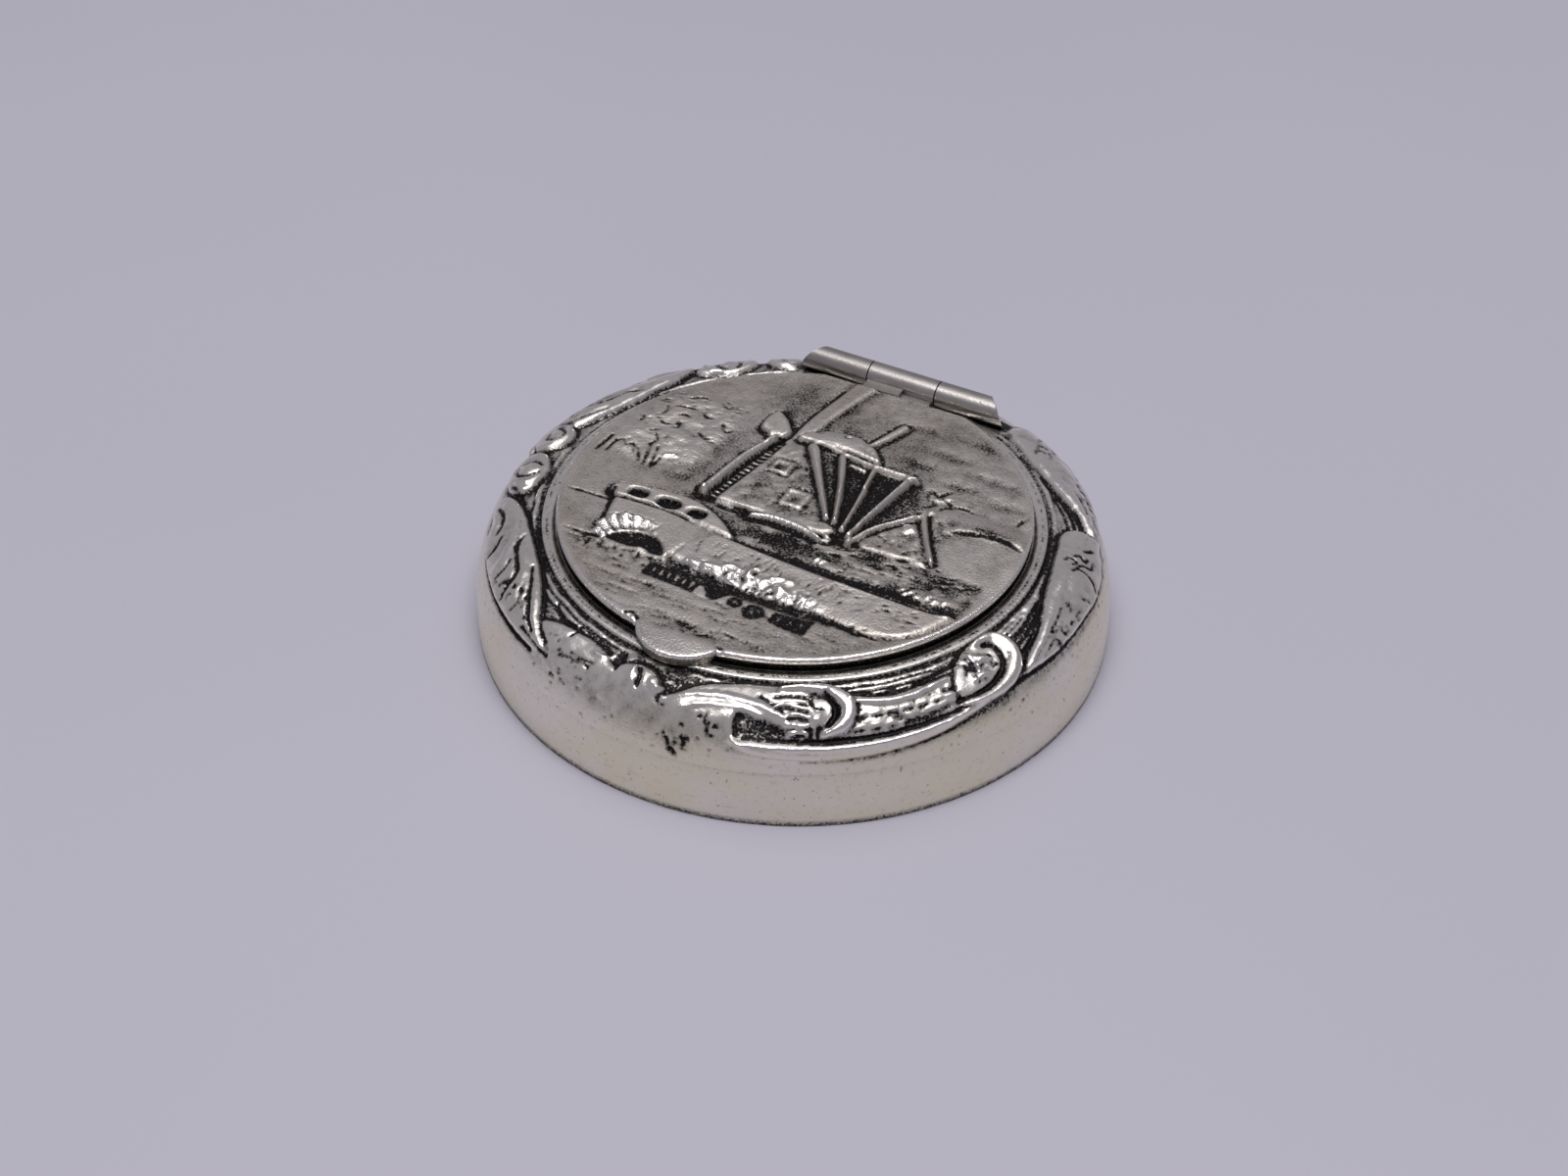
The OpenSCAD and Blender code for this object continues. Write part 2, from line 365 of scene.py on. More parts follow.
def draw_tower(r):
    """The mill's tower with two framed windows."""
    r.area([(-3.9, 6.6), (-4.9, 0.5), (-5.3, -2.2), (3.6, -2.4), (4.2, -1.0), (3.2, 6.4)], 0.2, 0.2,
           dark=0.04, halo=0.45, reach=0.5, straight=True)
    tower = r.window(-4.8, 3.6, -2.2, 6.0, 0.5)
    r.height += tower * (0.035 * r.rough(0.9, 41) + 0.02 * r.rough(0.3, 45))
    r.dark += tower * np.clip(0.12 + 0.25 * r.rough(0.7, 43), 0, 0.4)
    for x0, x1, y0, y1 in ((-3.5, -1.8, 2.2, 4.0), (-1.1, 0.9, -0.9, 1.3)):
        for inset, width, rise, dark in ((0.0, 0.34, -0.07, 0.42), (0.3, 0.34, 0.08, 0.0)):
            left, right, low, high = x0 + inset, x1 - inset, y0 + inset, y1 - inset
            r.stroke([(left, low), (left, high), (right, high), (right, low), (left, low)], width, rise, dark,
                     straight=True)
    r.shade((-3.0, 3.0), (0.28, 0.4), dark=0.6, rise=-0.06)
    r.shade((-0.1, 0.1), (0.5, 0.5), dark=0.15, rise=-0.04)
    r.stroke([(-3.6, 1.8), (-3.2, 2.3), (-2.2, 2.1)], 0.2, -0.05, 0.5)
    r.stroke([(-1.7, 3.4), (-1.2, 3.9), (-0.9, 3.5)], 0.2, -0.06, 0.55)
    r.stroke([(-0.6, -1.0), (0.4, -1.2), (1.6, -0.9)], 0.2, -0.05, 0.45)
    r.flecks(16, (-4.4, 2.4), (-1.8, 1.8), 0.5, 0.16, -0.03, 0.4, 10, 0.6)


def draw_cap(r):
    """The mill's rounded cap, and a bar that stands up from it."""
    r.area([(-3.2, 6.7), (-2.7, 7.8), (-1.7, 8.5), (-0.3, 8.85), (1.1, 8.8), (2.2, 8.2), (2.9, 7.4),
            (3.2, 6.6), (1.0, 6.75), (-1.0, 6.85)], 0.33, 0.3, halo=0.5, slope=(0, -0.05))
    r.shade((-0.2, 7.8), (1.8, 0.8), rise=0.1)
    r.stroke([(-2.5, 7.9), (-1.9, 8.0)], 0.34, -0.18, 0.95)
    r.stroke([(-0.25, 8.45), (-0.05, 8.2), (0.2, 8.4)], 0.32, -0.16, 0.9)
    for k in range(3):
        r.stroke([(1.6 + 0.45 * k, 7.9 - 0.25 * k), (2.0 + 0.4 * k, 7.0 - 0.1 * k)], 0.2, -0.06, 0.6)
    r.stroke([(1.3, 7.6), (2.2, 7.3), (3.0, 6.9)], 0.18, -0.05, 0.5)
    r.bar([(1.7, 8.6), (2.35, 10.2), (2.9, 11.8)], (0.4, 0.6, 0.65), 0.17, 0.18, halo=0.5)


def draw_upper_sail(r):
    """The sail that stands up, and the boards beside it."""
    r.bar([(-3.3, 6.9), (-3.0, 10.0), (-2.5, 12.6), (-1.7, 16.4)], (1.2, 1.2, 1.35, 1.7), 0.08, 0.35,
          dark=0.12, halo=0.4, reach=0.8)
    r.stroke([(-4.0, 7.6), (-3.75, 10.4), (-3.1, 14.2)], 0.34, -0.05, 0.6)
    r.area([(-6.2, 9.1), (-5.5, 9.0), (-4.6, 8.1), (-4.1, 7.2), (-4.9, 6.0), (-5.7, 6.6), (-6.4, 7.1)], 0.24,
           0.2, halo=0.5, slope=(-0.05, 0))
    r.stroke([(-6.1, 8.8), (-5.5, 7.6), (-4.9, 6.4)], 0.18, -0.05, 0.35)
    r.stroke([(-5.5, 8.8), (-4.9, 7.7), (-4.6, 6.6)], 0.18, -0.04, 0.3)


def draw_left_sail(r):
    """The sail that hangs down: a rung ladder and its bar."""
    r.bar([(-4.1, 5.7), (-4.7, 2.0), (-5.45, -2.2)], (0.75, 0.75, 0.8), -0.02, 0.15, dark=0.8)
    for k in range(17):
        t = k / 16
        x = -4.1 - 1.35 * t
        y = 5.5 - 7.5 * t
        r.stroke([(x - 0.24, y + 0.05), (x + 0.24, y - 0.05)], 0.26, 0.2, 0.1, 0.5)
        r.shade((x, y), (0.2, 0.1), dark=-0.25)
    r.bar([(-4.7, 6.0), (-5.6, 2.8), (-6.25, -1.9)], (0.5, 0.6, 0.65), 0.36, 0.14, crown=0.06, gloss=0.15,
          halo=0.7)
    r.stroke([(-6.7, 0.4), (-6.95, -1.8)], 0.26, -0.07, 0.6, taper=(0.3, 1))
    r.glint([(-6.2, -1.8), (-6.0, -2.2)], 0.5, 0.16)
    r.shade((-6.2, -2.5), (0.9, 0.4), dark=0.6, rise=-0.06)


def draw_fan(r):
    """The broad sail in front of the tower, whose spokes run down to one hub."""
    hub = (4.45, -2.4)
    r.area([(-0.8, 6.2), (5.9, 5.9), (5.2, 0.0), (4.7, -2.2), (3.6, -1.6), (2.6, 0.0)], 0.1, 0.2, dark=0.25,
           straight=True)
    r.shade((3.2, 0.2), (0.7, 1.2), dark=0.35, rise=-0.06)
    r.area([(1.3, 5.5), (5.5, 5.4), (4.7, -1.2), (3.9, -0.8)], 0.0, 0.2, dark=0.55, straight=True)
    r.area([(6.3, 5.3), (7.8, 4.2), (7.4, 2.0), (6.0, 0.2), (5.0, -1.6)], 0.0, 0.9, dark=0.45)
    for k in range(4):
        r.stroke([(6.3 + 0.4 * k, 4.6 - 0.5 * k), (5.7 + 0.2 * k, 1.6 - 0.2 * k)], 0.2, 0.05, 0.7)
    spokes = (([(-1.75, 6.3), (0.6, 2.6), (2.8, -0.8)], (0.78, 0.52, 0.32)),
              ([(0.65, 6.1), (2.2, 2.6), (3.45, -0.9)], (0.55, 0.48, 0.32)),
              ([(3.3, 5.8), (3.85, 2.2), (4.25, -1.4)], (0.36, 0.32, 0.24)),
              ([(6.0, 5.9), (5.5, 2.2), (4.95, -1.9)], (0.55, 0.42, 0.3)))
    for line, widths in spokes:
        r.bar(line, widths, 0.32, 0.12, crown=0.09, halo=0.6, reach=0.3)
        r.glint([line[-1], (line[-1][0] + 0.08, line[-1][1] + 0.35)], 0.4, 0.08)
    r.glint([(5.75, 4.4), (5.45, 1.6), (5.1, -0.6)], 0.2, 0.07)
    r.stroke([(1.2, 5.75), (2.7, 5.55)], 0.22, 0.16, 0.0, 0.7)
    r.stroke([(3.9, 5.45), (5.3, 5.35)], 0.3, -0.05, 1.0)
    r.bar([(-3.0, 6.85), (-0.6, 6.75), (1.4, 6.4), (3.2, 6.1), (6.4, 6.1)], (0.36, 0.36, 0.4, 0.5, 0.5), 0.34,
          0.12, crown=0.07, halo=0.4, reach=0.25)
    r.stroke([(-0.4, 5.0), (1.4, 2.0)], 0.2, -0.05, 0.8)
    for radius, rise, dark in ((0.55, -0.12, 0.9), (0.2, 0.2, 0.0)):
        r.stroke(arc((3.75, -2.6), (radius, radius), np.linspace(0, 6.28, 13)), 0.26, rise, dark)
    r.shade(hub, (0.5, 0.6), dark=0.7, rise=-0.05)
    r.stroke([(3.3, -2.0), (3.0, -2.9)], 0.2, -0.06, 0.6)


def draw_gable(r):
    """The gable of a hut, right of the mill."""
    r.area([(8.4, 2.0), (5.6, -1.6), (6.2, -2.4), (10.9, -2.2), (10.9, -1.4)], 0.14, 0.3, dark=0.14,
           straight=True)
    hut = r.window(5.8, 10.8, -2.2, 1.4, 0.5)
    r.height += hut * 0.07 * r.rough(0.7, 51)
    r.dark += hut * np.clip(0.5 * r.rough(0.6, 53), 0, 0.5)
    r.glint([(7.9, 1.2), (8.5, 0.9), (8.3, 0.5)], 0.6, 0.12)
    r.bar([(5.2, -2.4), (6.0, -0.6), (7.2, 1.1), (8.55, 2.7)], (0.4, 0.36, 0.4, 0.45), 0.28, 0.12, crown=0.08,
          halo=0.5)
    r.stroke([(5.6, -1.2), (6.8, 0.7), (8.2, 1.9)], 0.16, 0.05, 0.0, 0.9)
    r.bar([(8.5, 2.8), (9.7, 0.6), (11.1, -1.7)], (0.45, 0.36, 0.3), 0.27, 0.14, crown=0.05, halo=0.6,
          reach=0.3)
    r.stroke([(8.6, 2.9), (8.8, 3.6)], 0.4, 0.12, 0.15)
    r.stroke([(10.6, -1.9), (11.4, -1.6)], 0.28, -0.06, 0.85)
    r.stroke([(9.0, -1.9), (9.6, -1.1), (9.9, -1.4)], 0.22, -0.06, 0.7)
    r.flecks(14, (6.2, 10.4), (-2.3, 0.4), 0.5, 0.16, -0.05, 0.6, 60, 0.8)


def draw_hill(r):
    """The far hill, and the bushes in front of it."""
    r.area([(9.4, 4.1), (12.4, 4.2), (15.0, 3.9), (17.0, 3.2), (17.5, 1.0), (11.4, 1.6), (9.9, 2.2)], 0.14,
           0.9, dark=0.06)
    r.area([(11.2, 2.1), (13.0, 2.5), (16.2, 2.3), (17.6, -1.0), (16.0, -2.4), (12.6, -1.9), (11.2, -0.2)],
           0.02, 0.4)
    r.stroke([(11.0, 2.1), (12.2, 2.5), (13.6, 2.75), (14.9, 2.7), (16.0, 2.35)], 0.42, -0.07, 1.0,
             taper=(0.6, 0.5))
    r.shade((13.6, 3.1), (2.4, 0.45), dark=0.5)
    r.shade((10.6, 2.4), (0.9, 1.2), dark=0.25, rise=-0.03)
    r.pits(46, (11.6, 15.8), (2.8, 3.8), 0.05, 0.02, 0.7)
    r.stroke([(9.8, 2.6), (10.3, 1.8), (10.9, 1.6)], 0.7, -0.05, 0.4)
    for line in (((7.7, 4.9), (7.9, 5.9), (8.3, 5.2)), ((8.3, 5.2), (8.6, 5.7), (9.1, 6.4)),
                 ((8.8, 5.4), (9.5, 5.1), (9.9, 4.6)), ((8.4, 4.9), (8.5, 4.3), (8.1, 3.9)),
                 ((9.9, 4.9), (10.8, 5.0), (11.4, 4.8)), ((7.0, 4.4), (7.4, 4.0), (7.3, 3.5)),
                 ((14.6, 4.9), (14.8, 5.6), (15.1, 6.3)), ((9.2, 4.0), (9.5, 4.5), (10.2, 4.7))):
        r.stroke(line, 0.26, -0.09, 0.85, taper=(0.5, 0.4))
    r.stroke([(8.0, 5.4), (8.7, 5.0), (9.3, 5.6)], 0.35, 0.08)
    r.flecks(18, (6.6, 11.0), (3.4, 6.2), 0.5, 0.18, -0.05, 0.5, 70, 0.9)


def draw_middle_ground(r):
    """The meadow between the mill and the bank."""
    land = r.window(-3.4, 15.6, -6.6, -2.0, 0.7)
    r.height += land * 0.05 * r.rough(1.0, 61, 1.8)
    r.dark += land * np.clip(0.22 + 0.45 * r.rough(0.9, 63, 1.8), 0, 0.6)
    r.shade((2.5, -4.2), (4.4, 0.9), dark=0.25, rise=-0.05)
    r.shade((-2.4, -4.6), (1.4, 0.7), dark=0.3)
    r.shade((9.6, -5.9), (5.0, 0.45), dark=0.55, rise=-0.1)
    r.shade((3.0, -5.9), (4.4, 0.4), dark=0.35, rise=-0.09)
    r.shade((13.2, -3.4), (2.6, 0.5), dark=0.1)
    r.flecks(46, (4.6, 14.6), (-4.0, -2.1), 0.8, 0.24, -0.07, 0.75, 4, 0.25)
    r.flecks(30, (-2.0, 13.8), (-5.9, -4.0), 0.5, 0.22, -0.06, 0.6, 0, 0.7)
    for x, y in ((4.1, -4.9), (4.5, -5.0), (10.5, -5.2), (11.2, -5.1), (11.7, -5.4), (12.4, -5.1),
                 (12.9, -5.4), (10.9, -5.5), (13.6, -5.2)):
        r.glint([(x, y), (x + 0.12, y + 0.22)], 0.34, 0.13)
    r.bar([(-2.0, -2.75), (-0.8, -2.45), (0.8, -2.4), (2.2, -2.6), (3.3, -2.95)], (0.3, 0.4, 0.4, 0.3), 0.3,
          0.14, crown=0.08, gloss=0.8)
    r.stroke([(-2.0, -3.1), (-0.6, -2.95), (1.4, -2.95), (3.1, -3.25)], 0.42, -0.12, 1.0)
    r.stroke([(-4.6, -2.75), (-3.9, -2.8), (-3.1, -2.75)], 0.42, -0.12, 1.0)
    r.stroke([(-4.9, -2.3), (-3.8, -2.3), (-3.0, -1.9)], 0.4, 0.14, 0.0, 0.3)
    r.glint([(-3.1, -1.9), (-2.75, -1.7)], 0.4, 0.16)
    r.stroke([(-2.7, -2.1), (-2.6, -2.9)], 0.35, -0.1, 0.9)
    r.shade((-4.6, -3.3), (2.0, 0.35), dark=0.35)


def draw_bridge(r):
    """A bridge: its deck, three dark openings in its wall and one arch of bright blocks."""
    r.area([(-12.0, -4.1), (-9.8, -3.45), (-7.6, -3.2), (-5.6, -3.4), (-3.9, -4.1), (-2.6, -5.0),
            (-2.0, -5.8), (-4.8, -5.5), (-7.6, -5.15), (-11.4, -5.3)], 0.26, 0.22, halo=0.3, reach=0.3)
    r.area([(-11.3, -5.3), (-7.6, -5.15), (-4.8, -5.5), (-3.0, -5.9), (-4.4, -8.0), (-4.9, -9.7),
            (-11.0, -9.6), (-10.5, -8.6), (-11.0, -7.0)], 0.16, 0.2, straight=True)
    r.stroke([(-11.3, -5.35), (-9.4, -5.2), (-7.6, -5.15), (-6.2, -5.3), (-4.9, -5.6)], 0.26, -0.1, 0.8,
             taper=(0.7, 0.4))
    for x, y, w, h in ((-10.0, -4.4, 1.4, 0.85), (-7.55, -4.45, 1.75, 0.9), (-5.25, -4.6, 1.4, 0.8)):
        a = 0.5 * w
        b = 0.5 * h
        r.area([(x - a, y), (x - 0.7 * a, y - b), (x + 0.7 * a, y - b), (x + a, y), (x + 0.7 * a, y + b),
                (x - 0.6 * a, y + 0.9 * b)], -0.14, 0.14, dark=1.0)
    r.stroke([(-11.8, -4.6), (-11.5, -5.6), (-11.1, -7.0), (-10.6, -8.7)], 0.3, -0.12, 0.9, taper=(1, 0.6))
    r.shade((-11.9, -4.9), (0.5, 0.5), dark=0.6, rise=-0.05)
    r.stroke([(-15.0, -5.85), (-13.4, -5.75), (-11.6, -5.7)], 0.24, -0.08, 0.8, taper=(0.4, 1))
    centre = (-7.45, -10.2)
    reach = [(162, 3.5), (150, 3.95), (137, 4.0), (124, 3.95), (111, 3.7), (98, 3.5), (86, 3.3)]
    for k, (degree, outer) in enumerate(reach):
        ends = np.radians([degree + 5.8, degree - 5.8])
        near = arc(centre, (2.45, 2.45), ends)
        far = arc(centre, (outer, outer), ends)
        shine = (0.9, 1.0, 1.0, 1.0, 0.9, 0.7, 0.4)[k]
        r.area([near[0], *far, near[1]], 0.14 - 0.015 * k, 0.08, gloss=shine, halo=1.0 - 0.1 * k, reach=0.1,
               straight=True, slope=(0.0, 0.42))
    r.glint(arc(centre, (2.55, 2.5), np.radians(np.linspace(80, 172, 8))), 0.3, 0.1)
    arch = arc(centre, (2.35, 2.3), np.radians(np.linspace(18, 162, 12)))
    r.area(arch + [(-8.7, -9.6), (-7.6, -9.6), (-6.9, -9.4), (-6.0, -9.6)], -0.12, 0.2, dark=0.62)
    r.flecks(10, (-9.0, -5.8), (-9.2, -8.2), 0.5, 0.2, 0.04, 0.6, 10, 0.4)


def draw_bank(r):
    """The bank from the bridge to the right, and its stones along the water."""
    crest = [(-4.9, -5.65), (-2.4, -5.95), (0.1, -6.2), (2.8, -6.4), (5.4, -6.55), (9.4, -6.7), (13.3, -6.7),
             (14.8, -6.4)]
    shore = [(13.0, -9.2), (10.4, -10.3), (7.5, -10.1), (6.6, -9.9), (3.0, -10.0), (0.0, -9.8), (-3.4, -9.5),
             (-4.6, -9.2), (-4.4, -8.0)]
    r.area(crest + shore, 0.16, 0.25, halo=0.3, reach=0.25, slope=(0, 0.03))
    inland = smoothstep((r.y + 10.1 - 0.25 * np.sin(0.9 * r.x) - 0.2 * r.noise(0.8, 79)) / 1.1)
    bank = smoothstep((r.x + 6.4) / 3.0) * smoothstep((8.6 - r.x) / 3.6) * smoothstep((-6.8 - r.y) / 0.5)
    r.height -= bank * 0.22 * (1 - inland) * smoothstep((r.y + 11.2) / 0.8)
    slope = r.window(-4.0, 13.6, -9.9, -6.7, 0.6)
    r.height += slope * 0.022 * r.rough(0.8, 71)
    r.stroke(crest, 0.4, 0.07, 0.0, 0.2, taper=(0.6, 0.6))
    r.stroke([(x, y + 0.3) for x, y in crest[3:]], 0.42, -0.09, 0.95, taper=(0.4, 0.8))
    r.stroke([(x, y + 0.25) for x, y in crest[:4]], 0.26, -0.05, 0.45, taper=(0.3, 0.8))
    r.pits(30, (5.0, 13.4), (-8.8, -7.0), 0.1, 0.06, 0.8)
    r.pits(14, (-4.0, 6.0), (-8.2, -6.6), 0.09, 0.05, 0.7)
    r.flecks(20, (-3.6, 8.4), (-8.0, -6.8), 0.7, 0.18, -0.05, 0.6, 75, 0.35)
    r.flecks(8, (8.2, 13.0), (-8.6, -7.2), 0.5, 0.2, -0.05, 0.7, 30, 0.5)
    shoreline = np.exp(-((r.y + 9.4 - 0.25 * np.sin(0.9 * r.x)) / 0.75)**2)
    rocky = shoreline * smoothstep((r.x + 4.2) / 1.5) * smoothstep((7.6 - r.x) / 2.0)
    r.height += rocky * 0.17 * r.rough(0.45, 73)
    r.gloss += rocky * 0.8
    r.dark += rocky * np.clip(0.7 * r.rough(0.4, 77) - 0.1, 0, 0.5)
    r.glint([(-3.5, -9.35), (-2.0, -9.15), (-0.4, -9.0), (0.4, -9.2)], 0.34, 0.12)
    for line in (((0.9, -8.9), (1.1, -8.2), (1.3, -8.0)), ((2.6, -8.5), (3.3, -8.2), (4.0, -8.2)),
                 ((2.8, -9.3), (3.6, -9.1), (4.4, -9.4)), ((4.9, -9.0), (5.3, -9.3), (5.2, -9.7)),
                 ((-0.9, -8.8), (-0.3, -8.5), (0.3, -8.7))):
        r.glint(line, 0.36, 0.16)
    r.flecks(22, (-2.6, 6.8), (-9.9, -8.1), 0.4, 0.2, -0.12, 0.8, 30, 1.2)
    r.stroke([(6.2, -10.1), (8.4, -10.35), (11.3, -10.5)], 0.34, -0.08, 0.85, taper=(0.6, 0.4))
    r.flecks(10, (7.0, 11.2), (-10.8, -9.9), 0.4, 0.22, -0.06, 0.8, 0, 0.6)


def draw_water(r):
    """Ripples."""
    water = 1 - smoothstep((r.y + 10.2) / 0.5)
    r.height -= 0.03 * water
    r.height += water * 0.02 * r.rough(0.42, 81, 7.0)
    r.dark += water * np.clip(0.06 + 0.2 * r.rough(0.42, 85, 6.0), 0, 0.35)
    r.stroke([(-12.7, -9.75), (-11.4, -9.8), (-9.9, -9.65)], 0.34, -0.08, 0.85, taper=(0.4, 1))
    r.flecks(60, (-9.4, 9.0), (-15.4, -10.6), 1.5, 0.18, -0.05, 0.62, -2, 0.06)
    r.flecks(26, (-4.0, 3.6), (-16.0, -14.6), 1.0, 0.22, -0.05, 0.62, -3, 0.12)
    r.flecks(60, (-11.4, -4.8), (-11.0, -9.6), 0.45, 0.2, -0.05, 0.6, -5, 0.5)
    left = r.window(-11.5, -5.5, -10.6, -9.5, 0.4)
    r.dark += left * np.clip(0.5 * r.rough(0.5, 87), 0, 0.6)
    r.flecks(10, (6.0, 9.6), (-13.4, -11.0), 0.6, 0.16, -0.03, 0.4, -20, 0.3)


def draw_punches(r):
    """A row of five struck marks: plain cartouches with bars and dots, and no lettering."""
    r.area([(-5.6, -10.3), (-1.5, -10.6), (-1.6, -11.8), (-5.6, -11.65)], -0.08, 0.12, dark=0.95,
           straight=True)
    for k in range(6):
        x = -5.0 + 0.6 * k
        tall = 0.3 if k % 2 else 0.22
        r.stroke([(x, -10.95 + tall - 0.05 * k), (x + 0.04, -10.95 - tall - 0.05 * k)], 0.2, 0.08, 0.2,
                 straight=True)
    for dx, dy in ((-0.42, 0.2), (0.42, 0.2), (0.0, -0.35)):
        r.area(arc((-0.2 + dx, -11.05 + dy), (0.52, 0.5), np.linspace(0, 2 * math.pi, 8, endpoint=False)),
               -0.09, 0.14, dark=0.95)
    r.area(arc((1.4, -11.35), (0.58, 0.6), np.radians(np.arange(0, 360, 60))), -0.09, 0.14, dark=0.95,
           straight=True)
    r.stroke([(1.3, -11.3), (1.55, -11.45)], 0.26, 0.07, 0.45)
    r.area(arc((2.95, -11.7), (0.78, 0.74), np.linspace(0, 2 * math.pi, 12, endpoint=False)), -0.07, 0.14,
           dark=0.95)
    r.area(arc((2.95, -11.65), (0.5, 0.46), np.linspace(0, 2 * math.pi, 10, endpoint=False)), -0.03, 0.16,
           dark=0.72)
    r.area([(4.15, -10.95), (5.6, -10.9), (6.95, -10.7), (6.85, -12.35), (5.4, -12.3), (4.2, -12.1)], -0.09,
           0.14, dark=0.92, straight=True)
    for x, y in ((4.75, -11.55), (5.55, -11.55), (6.3, -11.5)):
        r.area([(x, y + 0.3), (x + 0.2, y), (x, y - 0.3), (x - 0.2, y)], -0.04, 0.1, dark=0.5, straight=True)


def draw_lid(r):
    """The whole picture, from the far things to the near ones."""
    r.mottle = np.clip(0.17 + 0.1 * r.rough(1.2, 27) + 0.13 * r.rough(0.45, 29), 0, 0.4)
    draw_sky(r)
    draw_hill(r)
    draw_left_trees(r)
    draw_middle_ground(r)
    draw_tower(r)
    draw_upper_sail(r)
    draw_gable(r)
    draw_fan(r)
    draw_cap(r)
    draw_left_sail(r)
    draw_bank(r)
    draw_bridge(r)
    draw_water(r)
    draw_punches(r)
    # The tab is smooth, and everything dies away towards the lid's edge.
    on_tab = smoothstep((-15.9 - r.y) / 0.9) * (np.abs(r.x) < 4)
    r.height *= 1 - on_tab
    r.dark = r.dark * (1 - on_tab) + 0.13 * on_tab
    r.gloss += 0.3 * on_tab
    crown = np.clip(1 - (np.hypot(r.x, r.y + 15.2) / 3.1)**2, 0, 1)
    edge = smoothstep((LID_R - np.hypot(r.x, r.y)) / 0.9)
    r.height *= edge
    r.height += 0.1 * crown * smoothstep((-14.8 - r.y) / 1.6)
    r.dark *= 0.3 + 0.7 * edge
    r.stroke([(-4.35, -16.0), (-4.0, -15.75), (-3.6, -15.95), (-3.75, -16.3), (-4.1, -16.25)], 0.24, 0.1,
             0.0, 0.5)
    r.stroke([(-4.45, -15.75), (-4.0, -15.5), (-3.45, -15.8), (-3.35, -16.3)], 0.2, -0.1, 0.95)
    r.stroke([(2.5, -16.0), (2.9, -16.1), (3.3, -16.3)], 0.26, -0.08, 0.9)


# ---------------------------------------------------------------- the scrolls on the shoulder


